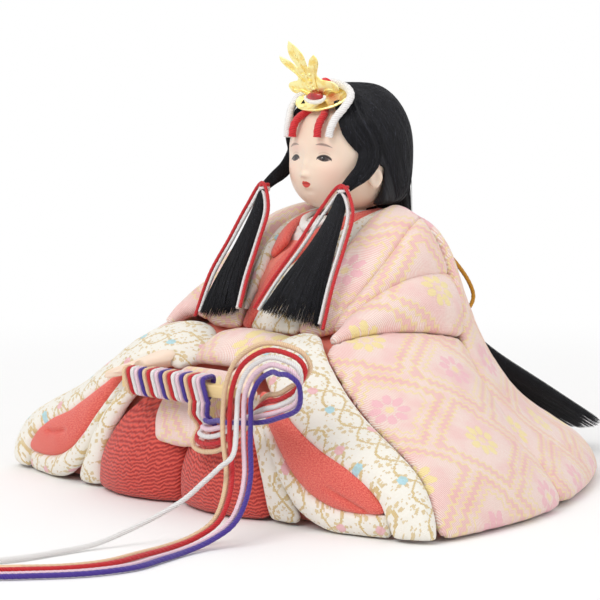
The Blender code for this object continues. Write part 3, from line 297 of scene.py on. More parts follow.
def buildStudio():
    sky = Finish("studio", {}, "worlds")
    sky.tree.nodes.clear()
    soft = sky.node("ShaderNodeBackground", {}, {"Color": (1, 1, 1), "Strength": studio["skyStrength"]})
    white = sky.node("ShaderNodeBackground", {}, {"Color": (1, 1, 1), "Strength": 1.0})
    mixed = litSurround(sky, soft.outputs[0], white.outputs[0])
    sky.node("ShaderNodeOutputWorld", {}, {"Surface": mixed})
    bpy.context.scene.world = sky.material

    floor = Finish("floorPaper", {"Roughness": 0.85, "Specular IOR Level": 0.2})
    x, y = floor.split(floor.place(scale=1.0))[:2]
    grain = floor.noise(floor.place(), 0.4, 3.0)
    floor.paint(floor.mix(grain * 0.12, studio["floorColour"], studio["floorGrain"]))
    far = floor.ramp(spanOf(x, y), studio["fadeStart"], studio["fadeEnd"])
    glow = floor.node("ShaderNodeEmission", {}, {"Color": (1, 1, 1), "Strength": 1.0})
    faded = floor.node("ShaderNodeMixShader", {}, {"Fac": far, "Shader": floor.shader.outputs[0],
                                                   "Shader_001": glow.outputs[0]})
    floor.feed(floor.tree.nodes["Material Output"].inputs["Surface"], faded.outputs[0])
    bm = bmesh.new()
    bmesh.ops.create_circle(bm, cap_ends=True, segments=studio["floorSegments"], radius=studio["floorRadius"])
    ground = addPiece("floor", bm, floor.material)


# Mesh helpers

def addPiece(name, bm, material, body=None, crease=60):
    # A finished mesh at its own place, riding on a body
    mesh = bpy.data.meshes.new(name)
    bm.to_mesh(mesh)
    bm.free()
    mesh.shade_smooth()
    mesh.set_sharp_from_angle(angle=math.radians(crease))
    mesh.materials.append(material)
    piece = linked(name, mesh)
    if body:
        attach(piece, body)
    return piece


def opened(mesh):
    bm = bmesh.new()
    bm.from_mesh(mesh)
    return bm


def outward(bm):
    bmesh.ops.recalc_face_normals(bm, faces=bm.faces)


def drawnMesh(item):
    # What an object's modifiers or its curve make of it
    graph = bpy.context.evaluated_depsgraph_get()
    return bpy.data.meshes.new_from_object(item.evaluated_get(graph))


def curveMesh(name, curve, helpers=()):
    # A curve as a mesh; the curve and the objects that shaped it go
    item = linked(name, curve)
    bm = opened(drawnMesh(item))
    for used in (item, *helpers):
        bpy.data.objects.remove(used)
    return bm


def evenOut(piece, voxel, rounds, levels=2):
    # Rounded, made anew from small even faces and smoothed
    material = piece.data.materials[0]
    if levels:
        rounded = piece.modifiers.new("rounded", "SUBSURF")
        rounded.levels = levels
        rounded.render_levels = levels
    even = piece.modifiers.new("even", "REMESH")
    even.mode = "VOXEL"
    even.voxel_size = voxel
    even.use_smooth_shade = True
    soft = piece.modifiers.new("soft", "SMOOTH")
    soft.factor = 0.5
    soft.iterations = rounds
    mesh = drawnMesh(piece)
    piece.modifiers.clear()
    piece.data = mesh
    mesh.materials.clear()
    mesh.materials.append(material)


def pushOut(piece, reach, lowest=-1):
    # Each point moves along its normal, by what reach gives for its place
    bm = opened(piece.data)
    bm.normal_update()
    moves = [v.normal * reach(v.co) for v in bm.verts]
    for v, move in zip(bm.verts, moves):
        v.co += move
        v.co.z = max(v.co.z, lowest)
    bm.to_mesh(piece.data)
    bm.free()


def storeVectors(piece, name, vectors):
    layer = piece.data.attributes.new(name, "FLOAT_VECTOR", "POINT")
    layer.data.foreach_set("vector", [part for vector in vectors for part in vector])


def storeByPlace(piece, name, rule):
    storeVectors(piece, name, [rule(v.co) for v in piece.data.vertices])


def solidCopy(sources):
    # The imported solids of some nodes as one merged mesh, in quads where they were quads
    bm = bmesh.new()
    for source in sources:
        bm.from_mesh(nodes[source].data)
    bmesh.ops.remove_doubles(bm, verts=bm.verts, dist=1e-6)
    limit = math.radians(50)
    bmesh.ops.join_triangles(bm, faces=bm.faces, angle_face_threshold=limit, angle_shape_threshold=limit)
    return bm


def curvePoint(a, b, c, d, t):
    return ((b * 2) + (c - a) * t + (a * 2 - b * 5 + c * 4 - d) * t ** 2
            + (b * 3 - a - c * 3 + d) * t ** 3) / 2


def smoothRow(points, count, fine=12):
    # Even steps along one smooth curve through the given points
    points = [Vector(p) for p in points]
    padded = [points[0] * 2 - points[1]] + points + [points[-1] * 2 - points[-2]]
    dense = []
    for i in range(1, len(padded) - 2):
        dense += [curvePoint(*padded[i - 1:i + 3], s / fine) for s in range(fine)]
    dense.append(padded[-2].copy())
    lengths = [0]
    for a, b in zip(dense, dense[1:]):
        lengths.append(lengths[-1] + (b - a).length)
    row = []
    k = 0
    for i in range(count + 1):
        target = lengths[-1] * i / count
        while k < len(lengths) - 2 and lengths[k + 1] < target:
            k += 1
        span = lengths[k + 1] - lengths[k]
        row.append(dense[k].lerp(dense[k + 1], (target - lengths[k]) / span if span else 0))
    return row


def runLength(points):
    return sum((b - a).length for a, b in zip(points, points[1:]))


def mirrored(points, side):
    return [Vector((side * p[0], p[1], p[2])) for p in points]


def nearest(line, place):
    return min(range(len(line)), key=lambda i: (line[i] - place).length_squared)


def squareReach(c, s, power):
    # How far a square with rounded corners reaches in a direction; a side is 1 from the middle
    return (abs(c) ** power + abs(s) ** power) ** (-1 / power)


# Cords

cordRoutes = {
    "tieWhite": [
        (0.0048, -0.0434, 0.0575), (0.0074, -0.0379, 0.0665), (0.0106, -0.0301, 0.0770),
        (0.0134, -0.0235, 0.0870), (0.0179, -0.0208, 0.0931), (0.0224, -0.0221, 0.0870),
        (0.0245, -0.0277, 0.0770), (0.0263, -0.0343, 0.0660), (0.0273, -0.0392, 0.0545),
    ],
    "tieRed": [
        (0.0031, -0.0438, 0.0580), (0.0057, -0.0383, 0.0668), (0.0088, -0.0306, 0.0773),
        (0.0116, -0.0238, 0.0877), (0.0179, -0.0206, 0.0956), (0.0242, -0.0218, 0.0877),
        (0.0263, -0.0275, 0.0773), (0.0281, -0.0342, 0.0663), (0.0291, -0.0396, 0.0530),
    ],
    "crownWhite": [         # the crown's two are mirrored at their last point
        (-0.0093, -0.0175, 0.1103), (-0.0097, -0.0170, 0.1132), (-0.0105, -0.0156, 0.1164),
        (-0.0118, -0.0133, 0.1195), (-0.0118, -0.0104, 0.1228), (-0.0092, -0.0086, 0.1252),
        (-0.0048, -0.0076, 0.1268), (0.0, -0.0073, 0.1275),
    ],
    "crownRed": [
        (-0.0056, -0.0190, 0.1103), (-0.0056, -0.0186, 0.1132), (-0.0054, -0.0172, 0.1156),
        (-0.0048, -0.0150, 0.1174), (-0.0028, -0.0129, 0.1190), (0.0, -0.0122, 0.1197),
    ],
    "backLoop": [
        (0.0126, 0.0228, 0.0737), (0.0129, 0.0252, 0.0748), (0.0131, 0.0300, 0.0742),
        (0.0132, 0.0372, 0.0690), (0.0135, 0.0435, 0.0625), (0.0136, 0.0462, 0.0570),
        (0.0136, 0.0440, 0.0532), (0.0135, 0.0400, 0.0524), (0.0134, 0.0362, 0.0542),
        (0.0133, 0.0330, 0.0578), (0.0130, 0.0292, 0.0567),
    ],
}

# The ribbon of strands from under the fan, through the bow and along the floor: each
# point of its middle, and the way in which its strands lie beside each other there
ribbonRoute = [
    ((0.0160, -0.0748, 0.0264), (0.97, 0, 0.2)), ((0.0163, -0.0770, 0.0249), (0.92, 0, 0.75)),
    ((0.0182, -0.0792, 0.0244), (0.6, 0, 1.1)), ((0.0230, -0.0804, 0.0242), (0.2, 0, 1.15)),
    ((0.0293, -0.0810, 0.0258), (0.1, -0.4, 1.05)), ((0.0370, -0.0808, 0.0300), (0, -1.2, 0.1)),
    ((0.0465, -0.0810, 0.0345), (0.15, -0.4, -0.85)), ((0.0540, -0.0815, 0.0365), (0.2, -0.3, -0.85)),
    ((0.0610, -0.0820, 0.0396), (0.7, -0.35, -0.7)), ((0.0640, -0.0828, 0.0436), (0.8, -0.85, 0)),
    ((0.0645, -0.0834, 0.0473), (0.05, -1.1, -0.2)), ((0.0610, -0.0842, 0.0496), (-0.25, -0.75, -0.8)),
    ((0.0540, -0.0852, 0.0504), (0.45, -0.15, -1)), ((0.0470, -0.0863, 0.0466), (0.75, 0.3, -0.8)),
    ((0.0438, -0.0872, 0.0403), (0.9, 0.4, -0.5)), ((0.0438, -0.0880, 0.0330), (1, 0.45, 0)),
    ((0.0460, -0.0900, 0.0262), (1, 0.4, 0)), ((0.0505, -0.0935, 0.0180), (0.95, 0.3, 0)),
    ((0.0540, -0.0985, 0.0115), (0.95, 0.2, 0)), ((0.0545, -0.1030, 0.0062), (0.95, 0.1, 0)),
    ((0.0526, -0.1090, 0.0026), (1, 0, 0)), ((0.0528, -0.1180, 0.0011), (1.15, -0.05, 0)),
    ((0.0553, -0.1300, 0.0010), (1.3, 0, 0)), ((0.0575, -0.1420, 0.0010), (1.4, 0.1, 0)),
    ((0.0545, -0.1540, 0.0010), (1.4, -0.2, 0)), ((0.0470, -0.1650, 0.0010), (1.3, -0.55, 0)),
    ((0.0380, -0.1760, 0.0010), (1.2, -0.7, 0)), ((0.0280, -0.1870, 0.0010), (1.1, -0.75, 0)),
]
whiteTailRoute = [
    (0.0493, -0.0942, 0.0240), (0.0476, -0.0980, 0.0202), (0.0452, -0.1015, 0.0164),
    (0.0420, -0.1075, 0.0110), (0.0376, -0.1180, 0.0056), (0.0344, -0.1310, 0.0016),
    (0.0336, -0.1440, 0.0010), (0.0330, -0.1550, 0.0010), (0.0298, -0.1650, 0.0010),
    (0.0240, -0.1750, 0.0010),
]

cords = {
    "step": 0.00042,        # from one ring of a cord to the next
    "ringPoints": 12,
    "ply": 0.92,            # how far the flat between two plies reaches, against the radius
    "pitch": 0.0036,        # one full turn of the plies
    "fanRadius": 0.00080,
    "tieRadius": 0.00062,
    "crownRadius": 0.00130,
    "loopRadius": 0.00075,
    "names": ["beige", "red", "white", "pink", "purple"],
    "ribbonPitch": 0.00195,
    "whiteParting": 16,     # the white strand leaves the others after so many points
    "gap": 0.00005,         # from a winding's end to the free cord
    "roughSteps": 200,      # to measure a free cord's length
    "leastSteps": 40,
}

winding = {
    "turns": 3.38,
    "pitch": 0.0095,        # one turn of all five strands
    "start": 0.0013,        # from the far end of the fan to the first strand
    "steps": 40,            # points on each turn
    "lift": 0.0005,         # from the fan to the strands
    "power": 6,             # how square a turn is
    "bend": 0.0005,         # each strand turns down over this length
    "run": 0.0016,          # and then runs straight on for this one
    "fanHeight": 0.0048,    # the bare bar inside the windings
    "fanThickness": 0.0044,
}

knots = {
    "middle": (0.0179, -0.0196, 0.0944),   # where the cords bind the lock
    "rings": {"red": (0.0012, 0.0005), "white": (0.0013, -0.0006)},    # radius, and rise of the ring
    "turns": 1.6,
    "steps": 40,
    "rise": 0.0010,         # over all the turns
    "deeper": 1.15,         # than wide
    "cord": 0.00055,
}

# Each silk's colour, and the deep one used for the painted shade between its plies and for its fibres' random
# tone
cordPaint = {
    "beige": (colour(246, 214, 176), colour(214, 168, 124)),
    "red": (colour(222, 44, 50), colour(150, 12, 24)),
    "white": (colour(250, 248, 246), colour(214, 208, 208)),
    "pink": (colour(252, 222, 232), colour(232, 180, 200)),
    "purple": (colour(84, 58, 162), colour(42, 26, 104)),
    "gold": (colour(222, 160, 44), colour(150, 92, 16)),
}

cordSilks = {}              # filled in by buildCords


def cordFinish(name):
    # Silk fibres that run along the plies, with painted shade darkening the hollows between them
    light, deep = cordPaint[name]
    silk = Finish(name + "Silk", {"Sheen Weight": 0.35, "Sheen Roughness": 0.4, "Specular IOR Level": 0.35})
    along, across, up = silk.split(silk.attribute("lay"))
    fibre = silk.streaks((along, across, up), (0.5, 5.0, 5.0), 3.0)
    ply = (up.angle(across) * 2.5).sine().size()
    # Painted shade: the colour turns deep in the hollows between the plies, and the fibres add random tone
    hollow = silk.ramp(ply, 0.0, 0.75)
    shade = silk.mix(hollow * 0.70 + fibre * 0.42, deep, light)
    silk.bump(hollow * 0.8 + fibre * 0.4, 0.00014, 0.8)
    return silk.paint(shade, 0.42 + fibre * 0.2)


def twistedCord(name, path, radius, silk, body, node=None):
    # A slightly flattened ring carried along the path as it turns, so that its plies wind round it
    count = cords["ringPoints"]
    ring = bpy.data.curves.new(name + "Ring", "CURVE")
    ringLine = ring.splines.new("POLY")
    ringLine.points.add(count - 1)
    ringLine.use_cyclic_u = True
    turns = [2 * math.pi * i / count for i in range(count)]
    for point, turn in zip(ringLine.points, turns):
        reach = radius * (cords["ply"] + (1 - cords["ply"]) * math.cos(turn) ** 2)
        point.co = (reach * math.cos(turn), reach * math.sin(turn), 0, 1)
    ringPiece = linked(name + "Ring", ring)
    curve = bpy.data.curves.new(name, "CURVE")
    curve.dimensions = "3D"
    curve.bevel_mode = "OBJECT"
    curve.bevel_object = ringPiece
    curve.use_fill_caps = True
    line = curve.splines.new("POLY")
    line.points.add(len(path) - 1)
    run = 0
    for i, (point, place) in enumerate(zip(line.points, path)):
        run += (place - path[i - 1]).length if i else 0
        point.co = (*place, 1)
        point.tilt = 2 * math.pi * run / cords["pitch"]
    bm = curveMesh(name, curve, [ringPiece])
    bm.verts.ensure_lookup_table()
    step = runLength(path) / (len(path) - 1) / mm
    lay = [(step * (v.index // count), math.cos(turns[v.index % count]), math.sin(turns[v.index % count]))
           for v in bm.verts]
    outward(bm)
    piece = addPiece(name, bm, cordSilks[silk], body)
    storeVectors(piece, "lay", lay)
    if node:
        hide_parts(node)
    return piece


def freeCord(name, route, radius, silk, body, node):
    rough = smoothRow(route, cords["roughSteps"])
    path = smoothRow(route, max(cords["leastSteps"], round(runLength(rough) / cords["step"])))
    piece = twistedCord(name, path, radius, silk, body, node)
    runLength(path)


def windingPoint(start, turn):
    angle = 2 * math.pi * turn + math.pi / 2
    c = math.cos(angle)
    s = math.sin(angle)
    reach = squareReach(c, s, winding["power"])
    depth = winding["fanThickness"] / 2 + cords["fanRadius"] + winding["lift"]
    height = winding["fanHeight"] / 2 + cords["fanRadius"] + winding["lift"]
    return start + Vector((winding["pitch"] * turn, depth * c * reach, height * s * reach))


def fanCord(k, name, seat):
    # One strand: wound round the fan, and from a hair's breadth on as a free cord
    count = len(cords["names"])
    down = Vector((0, 0, -1))
    start = seat + Vector((winding["start"] + winding["pitch"] * k / count, 0, 0))
    steps = round(winding["turns"] * winding["steps"])
    turns = [windingPoint(start, winding["turns"] * i / steps) for i in range(steps + 1)]
    turns.append(turns[-1] + Vector((0, -winding["bend"], -winding["bend"])))
    turns.append(turns[-1] + down * winding["run"])
    path = smoothRow(turns, round(runLength(turns) / cords["step"]), 4)
    twistedCord("winding_" + name, path, cords["fanRadius"], name, "fan", "fan_wrap_" + name)
    offset = (k - (count - 1) / 2) * cords["ribbonPitch"]
    strand = [Vector(place) + Vector(spread) * offset for place, spread in ribbonRoute]
    if name == "white":
        strand = strand[:cords["whiteParting"]] + [Vector(p) for p in whiteTailRoute]
    leaves = turns[-1] + down * cords["gap"]
    route = [leaves, leaves + down * winding["run"]] + strand
    freeCord("bow_cord_" + name, route, cords["fanRadius"], name, "fan", "fan_cord_" + name)


def tieKnot(label, side, name):
    radius, height = knots["rings"][name]
    middle = Vector((side * knots["middle"][0], *knots["middle"][1:])) + Vector((0, 0, height))
    turns = []
    for i in range(knots["steps"] + 1):
        share = i / knots["steps"]
        turn = 2 * math.pi * knots["turns"] * share
        turns.append(middle + Vector((math.cos(turn) * radius, math.sin(turn) * radius * knots["deeper"],
                                      knots["rise"] * (share - 0.5))))
    twistedCord("tie_knot_" + name + "_" + label, smoothRow(turns, 60, 3), knots["cord"], name, "head")


def buildCords():
    for name in cordPaint:
        cordSilks[name] = cordFinish(name)
    low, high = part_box("fan")
    seat = Vector((low.x, (low.y + high.y) / 2, (low.z + high.z) / 2))
    for k, name in enumerate(cords["names"]):
        fanCord(k, name, seat)
    for label, side in sides.items():
        for name in ("red", "white"):
            route = mirrored(cordRoutes["tie" + name.capitalize()], side)
            freeCord("tie_" + name + "_" + label, route, cords["tieRadius"], name, "head",
                     "tie_cord_" + name + "_" + label)
        for name in knots["rings"]:
            tieKnot(label, side, name)
    for name in ("red", "white"):
        half = cordRoutes["crown" + name.capitalize()]
        freeCord("crown_loop_" + name, half + mirrored(half[-2::-1], -1), cords["crownRadius"], name, "crown",
                 "crown_cord_" + name)
    freeCord("gold_loop", cordRoutes["backLoop"], cords["loopRadius"], "gold", "torso", "back_loop_cord")
    print("cords laid")


# Cloth

weaving = {
    "apex": (0.0, -0.005, 0.095),   # the robe's cloth unrolls from a cone over the shoulders
    "unroll": 0.72,
    "heart": (0.0, 0.0, 0.043),     # every flat panel faces away from here
    "sideFrom": -0.008,             # panels whose middle is further right count as right ones
}

robeWeave = {
    "thread": (0.42, 0.42),         # mm between the threads that draw a flower
    "step": (1.70, 1.35),           # mm of each step in the lattice lines
    "cellWide": 40.0,
    "cellTall": 36.0,
    "lines": [0.040, 0.118, 0.200], # where the lines run, in shares of a cell from its edge
    "halfLine": 0.26,               # mm
    "petals": 8,
    "petalReach": 3.9,              # mm
    "petalLong": 1.85,
    "petalWide": 1.25,
    "heartSize": 1.2,
    "stripe": 0.54,
    "peach": colour(233, 177, 164),
    "pale": colour(255, 244, 236),
    "pink": colour(240, 164, 168),
    "yellow": colour(248, 230, 160),
    "lilac": colour(246, 192, 200),
}

creamWeave = {
    "thread": 0.36,
    "wide": 11.5,
    "tall": 17.0,
    "swing": 0.27,
    "line": 0.36,                   # mm, half the gold line
    "clusterWide": 5.75,
    "clusterTall": 8.5,
    "petals": 6,
    "petalReach": 1.75,
    "petalLong": 0.65,
    "petalWide": 0.5,
    "heartSize": 1.35,
    "ground": colour(255, 252, 244),
    "shade": colour(243, 235, 218),
    "gold": colour(206, 168, 88),
    "light": colour(232, 206, 130),
    "blue": colour(170, 222, 236),
    "pink": colour(247, 186, 196),
}

plainPaint = {                      # the darker and the lighter tint, or the other way round
    "crepe": (colour(224, 62, 62), colour(255, 144, 124)),
    # hakama: painted shade for the rib grooves and painted highlight for the ribs
    "hakama": (colour(156, 36, 38), colour(234, 96, 82)),
    "whiteSilk": (colour(250, 248, 244), colour(232, 228, 222)),
    "tucked": (colour(232, 116, 102), colour(252, 158, 138)),
}


def startCloth(name, sheen, gloss, sheenRough=0.4):
    # A cloth's finish, and the two ways of its weave in mm
    cloth = Finish(name, {"Sheen Weight": sheen, "Sheen Roughness": sheenRough, "Specular IOR Level": gloss})
    u, v = cloth.split(cloth.attribute("weave"))[:2]
    return cloth, u, v


def onThreads(u, v, size):
    # A woven figure only changes from one thread to the next
    return ((u / size[0]).floor() + 0.5) * size[0], ((v / size[1]).floor() + 0.5) * size[1]


def flower(du, dv, weave):
    # Petals round a heart; both masks are 1 inside
    reach = spanOf(du, dv)
    share = 2 * math.pi / weave["petals"]
    turn = (dv.angle(du) / share).fromMiddle() * share
    outward = (reach * turn.cosine() - weave["petalReach"]) / weave["petalLong"]
    across = reach * turn.sine() / weave["petalWide"]
    return (outward * outward + across * across) < 1.0, reach < weave["heartSize"]


def slantedCells(u, v, thread, weave):
    # A thread's place among the slanted cells; its whole part is the cell's number
    tu, tv = onThreads(u, v, thread)
    p = tu / weave["cellWide"] + tv / weave["cellTall"]
    q = tu / weave["cellWide"] - tv / weave["cellTall"] + p.floor() * 0.5
    return p, q


def lattice(u, v, weave):
    # How far a stepped place lies inside its cell, and which of two kinds the cell is
    p, q = slantedCells(u, v, weave["step"], weave)
    edge = (0.5 - p.fromMiddle().size()).least(0.5 - q.fromMiddle().size())
    return edge, ((p.floor() + q.floor()) * 0.5).fraction() > 0.25


def robeFinish():
    weave = robeWeave
    cloth, u, v = startCloth("robeBrocade", 0.3, 0.35)
    edge, kind = lattice(u, v, weave)
    strap = (edge < weave["lines"][1]) * (edge > weave["lines"][0])
    highest = lowest = None
    for across, up in ((1, 1), (1, -1), (-1, 1), (-1, -1)):
        near = lattice(u + across * weave["halfLine"], v + up * weave["halfLine"], weave)[0]
        level = (near < weave["lines"][0]) + (near < weave["lines"][1]) + (near < weave["lines"][2]) * kind
        highest = highest.most(level) if highest else level
        lowest = lowest.least(level) if lowest else level
    outline = (highest - lowest) > 0.5
    p, q = slantedCells(u, v, weave["thread"], weave)
    along = p.fromMiddle()
    aside = q.fromMiddle()
    petals, heart = flower((along + aside) * (weave["cellWide"] / 2),
                           (along - aside) * (weave["cellTall"] / 2), weave)
    twill = ((u + v * 0.45).wave(weave["stripe"]) + 1.0) * 0.5
    weft = (v.wave(0.5) + 1.0) * 0.5
    worn = cloth.streaks((u, v), (0.10, 0.10))
    fleck = cloth.streaks((u, v), (2.4, 1.5), 2.0, 0.7)
    held = 0.10 + twill * 0.48 + fleck * 0.55        # the ground's threads show through a figure
    ground = cloth.mix(twill * 0.80 + fleck * 0.36, weave["peach"], weave["pale"])
    ground = cloth.mix(cloth.ramp(worn, 0.42, 0.66) * 0.30, ground, weave["pink"])
    ground = cloth.mix(strap * held * 0.55, ground, weave["pink"])
    ground = cloth.mix(outline * held, ground, weave["yellow"])
    petalPaint = cloth.mix(kind, weave["yellow"], weave["lilac"])
    ground = cloth.mix(petals * (1.0 - heart) * (held + 0.25), ground, petalPaint)
    ground = cloth.mix(heart * held, ground, weave["yellow"])
    figure = petals.most(heart).most(outline)
    cloth.bump(figure * 0.6 + twill * 0.8 + weft * 0.35 + fleck * 0.8, 0.00014, 0.9)
    return cloth.paint(ground, 0.60 - figure * 0.12 + fleck * 0.10)


def creamFinish():
    weave = creamWeave
    cloth, u, v = startCloth("creamBrocade", 0.2, 0.3, 0.45)
    tu, tv = onThreads(u, v, (weave["thread"], weave["thread"]))
    swing = tv.wave(weave["tall"]) * weave["swing"]
    lines = [((tu / weave["wide"] + swing * way).fromMiddle() * weave["wide"]).size() for way in (1, -1)]
    twist = ((tu + tv) * 3.2).sine() * 0.12
    gold = lines[0].least(lines[1]) < (weave["line"] + twist)
    column = tu / weave["clusterWide"]
    row = column.floor()
    shifted = tv / weave["clusterTall"] + row * 0.37
    ring, heart = flower(column.fromMiddle() * weave["clusterWide"],
                         shifted.fromMiddle() * weave["clusterTall"], weave)
    pick = (row * 0.37 + shifted.floor() * 0.23).fraction()
    dots = cloth.cells(cloth.join(tu, tv), 0.85) < 0.24
    shade = cloth.streaks((u, v), (0.9, 1.8))
    tone = cloth.noise(cloth.join(u * 0.35, v * 0.35, 3.0), 1.0, 1.0)
    fine = cloth.streaks((u, v), (2.8, 2.8), 2.0, 0.7)
    figure = gold.most(ring * 0.85).most(dots * 0.75)
    ground = cloth.mix(shade * 0.6, weave["ground"], weave["shade"])
    ground = cloth.mix(figure * (0.45 + fine * 0.7), ground, cloth.mix(tone, weave["gold"], weave["light"]))
    heartPaint = cloth.mix(pick < 0.17, weave["pink"], weave["blue"])
    ground = cloth.mix(heart * (pick < 0.34) * (0.6 + fine * 0.4), ground, heartPaint)
    cloth.bump(figure * 0.8 + u.wave(0.42) * v.wave(0.42) * 0.5 + fine * 0.8, 0.00013, 0.9)
    return cloth.paint(ground, 0.6 - figure * 0.2 + fine * 0.1)


def crepeFinish():
    cloth, u, v = startCloth("coralCrepe", 0.3, 0.3)
    grain = cloth.streaks((u, v), (2.2, 3.2), 3.0, 0.65)
    soft = cloth.streaks((u, v), (0.12, 0.12), 1.0)
    tint = cloth.mix(cloth.ramp(grain, 0.30, 0.72) * 0.8 + soft * 0.2, *plainPaint["crepe"])
    cloth.bump(grain, 0.00045, 1.0)
    return cloth.paint(tint, 0.6 + grain * 0.15)


def hakamaFinish():
    # Wavy ribs across the skirt, as in a crinkled figured silk, with painted shade in their grooves and
    # painted highlight on their crests
    cloth, u, v = startCloth("hakamaCrepe", 0.25, 0.35)
    wander = cloth.streaks((u, v), (0.55, 0.22), 3.0, 0.6)
    fine = cloth.streaks((u, v), (3.0, 3.0))
    rib = ((v + wander * 2.6).wave(1.05) + 1.0) * 0.5
    cloth.bump(rib + fine * 0.3, 0.00030, 0.9)
    # Painted shade and highlight: the colour follows the ribs, darker in their grooves and lighter on their
    # crests, with some random tone
    return cloth.paint(cloth.mix(rib * 0.8 + fine * 0.2, *plainPaint["hakama"]), 0.58 + fine * 0.12)


def whiteSilkFinish():
    cloth, u, v = startCloth("whiteSilk", 0.2, 0.35, 0.5)
    soft = cloth.noise(cloth.join(u, v), 0.8, 2.0)
    cloth.bump(u.wave(0.4) * v.wave(0.4) * 0.5 + soft * 0.5, 0.00008, 0.7)
    return cloth.paint(cloth.mix(soft, *plainPaint["whiteSilk"]), 0.5 + soft * 0.15)


def coneWeave(place):
    # The robe's cloth as one sheet unrolled from a cone, mirrored on the other side
    off = Vector((abs(place.x), place.y, place.z)) - Vector(weaving["apex"])
    turn = math.atan2(off.y, off.x) * weaving["unroll"]
    return (off.length * math.sin(turn) / mm, -off.length * math.cos(turn) / mm, 0)


def flatWeave(verts):
    # The rule for a panel's cloth as a flat sheet that faces away from the heart of the doll
    middle = sum((v.co for v in verts), Vector()) / len(verts)
    side = 1 if middle.x > weaving["sideFrom"] else -1
    facing = Vector((middle.x * side, middle.y, middle.z)) - Vector(weaving["heart"])
    facing.normalize()
    level = Vector((0, 0, 1)).cross(facing).normalized()
    rising = facing.cross(level)

    def rule(place):
        place = Vector((place.x * side, place.y, place.z))
        return (place.dot(level) / mm, place.dot(rising) / mm, 0)

    return rule


pads = {
    "voxel": 0.00062,
    "backVoxel": 0.00090,
    "fineVoxel": 0.0004,
    "rounds": 5,            # smoothing passes
    "grow": 0.00068,        # cloth swells over its groove until two panels touch
    "growOwn": {            # by the start of a piece's name
        "outer_robe": 0.00100, "padded_arm_fold": 0.00120, "padded_arm_upper": 0.00105,
        "coral_collar": 0.00085, "padded_chest": 0.00085, "white_collar": 0.00010,
    },
    "tuck": 0.00090,        # how thick the cloth in the grooves is
    "under": (-0.0030, -0.0222, 0.0682),    # the robe's neck is filled by an egg shape here
    "underHalf": (0.0108, 0.0142, 0.0052),
    "underTilt": 48.0,      # degrees
    "lowest": 0.0003,       # cloth stays this far over the ground
    "pucker": 0.00016,      # small pulls in the cloth
    "puckerSize": 0.0042,
}


def padPiece(name, sources, material, cone=False, voxel=None, filler=None):
    # Cloth drawn over wadding: the panel's solid, rounded, swollen and slightly puckered
    bm = solidCopy(sources)
    if filler:
        filler(bm)
    piece = addPiece(name, bm, material, "torso")
    evenOut(piece, voxel or pads["voxel"], pads["rounds"])
    own = [size for key, size in pads["growOwn"].items() if name.startswith(key)]
    grow = own[0] if own else pads["grow"]
    pushOut(piece, lambda place: grow + noise.noise(place / pads["puckerSize"]) * pads["pucker"],
            pads["lowest"])
    storeByPlace(piece, "weave", coneWeave if cone else flatWeave(piece.data.vertices))
    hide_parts(*sources)
    return piece


seam = {
    # Below the notch the sleeve's cloth runs on into the back's as one
    "route": [(0.0600, 0.0030, 0.0285), (0.0690, 0.0020, 0.0190), (0.0775, 0.0025, 0.0100),
              (0.0838, 0.0030, 0.0035)],
    "radius": 0.0012,
    "count": 26,
}


folds = {
    "left": [(0.0623, -0.0714, 0.0132), (0.0650, -0.0710, 0.0119), (0.0686, -0.0706, 0.0105),
             (0.0717, -0.0698, 0.0089), (0.0743, -0.0689, 0.0077), (0.0765, -0.0680, 0.0062)],
    "right": [(-0.0715, -0.0670, 0.0150), (-0.0685, -0.0692, 0.0151), (-0.0654, -0.0707, 0.0153),
              (-0.0604, -0.0715, 0.0158), (-0.0560, -0.0718, 0.0168)],
    "depth": 0.0013,
    "width": 0.00085,
    "steps": 30,
}


def foldCloth(piece, route):
    # A sharp fold pressed into the cloth along a route, shallower towards both its ends
    line = smoothRow(route, folds["steps"])

    def reach(place):
        k = nearest(line, place)
        near = math.exp(-((line[k] - place).length / folds["width"]) ** 2)
        return -folds["depth"] * near * min(1, 0.25 + k / 12, 0.25 + (folds["steps"] - k) / 6)

    pushOut(piece, reach)


def fillSeam(bm):
    for side in sides.values():
        for place in smoothRow(mirrored(seam["route"], side), seam["count"]):
            bmesh.ops.create_icosphere(bm, subdivisions=1, radius=seam["radius"], matrix=spot(place))


def tuckedCloth():
    # The cloth that runs down into the grooves, so that no bare core shows between two panels
    silk = grainFinish("tuckedSilk", {"Sheen Weight": 0.2, "Specular IOR Level": 0.25}, (2.6, 2.0),
                       plainPaint["tucked"], (0.7, 0.1), (0.00012, 0.8))
    piece = addPiece("tucked_cloth", solidCopy(["core_body"]), silk, "torso")
    pushOut(piece, lambda place: pads["tuck"], pads["lowest"])
    bm = opened(piece.data)
    bmesh.ops.create_uvsphere(bm, u_segments=48, v_segments=32, radius=1,
                              matrix=spot(pads["under"], tilted(pads["underTilt"]), pads["underHalf"]))
    bm.to_mesh(piece.data)
    bm.free()


neck = {
    "middle": (-0.0015, -0.0132, 0.0788),
    "half": (0.0100, 0.0085, 0.0042),
    "tilt": 42.0,
    "layers": 5,            # edges of the white underclothes that show one above the other
    "layerRise": 0.00022,
}


def neckCloth(white):
    # The white underclothes between the collars and the neck, with the edges of their layers
    bm = bmesh.new()
    bmesh.ops.create_uvsphere(bm, u_segments=64, v_segments=96, radius=1)
    for v in bm.verts:
        edge = math.cos(v.co.y * math.pi * neck["layers"]) * neck["layerRise"] * max(0, v.co.z)
        v.co = Vector([part * half for part, half in zip(v.co, neck["half"])]) + Vector((0, 0, edge))
    bmesh.ops.transform(bm, matrix=spot(neck["middle"], tilted(neck["tilt"])), verts=bm.verts)
    piece = addPiece("white_underclothes", bm, white, "torso")
    storeByPlace(piece, "weave", lambda place: (place.x / mm, place.z / mm, 0))


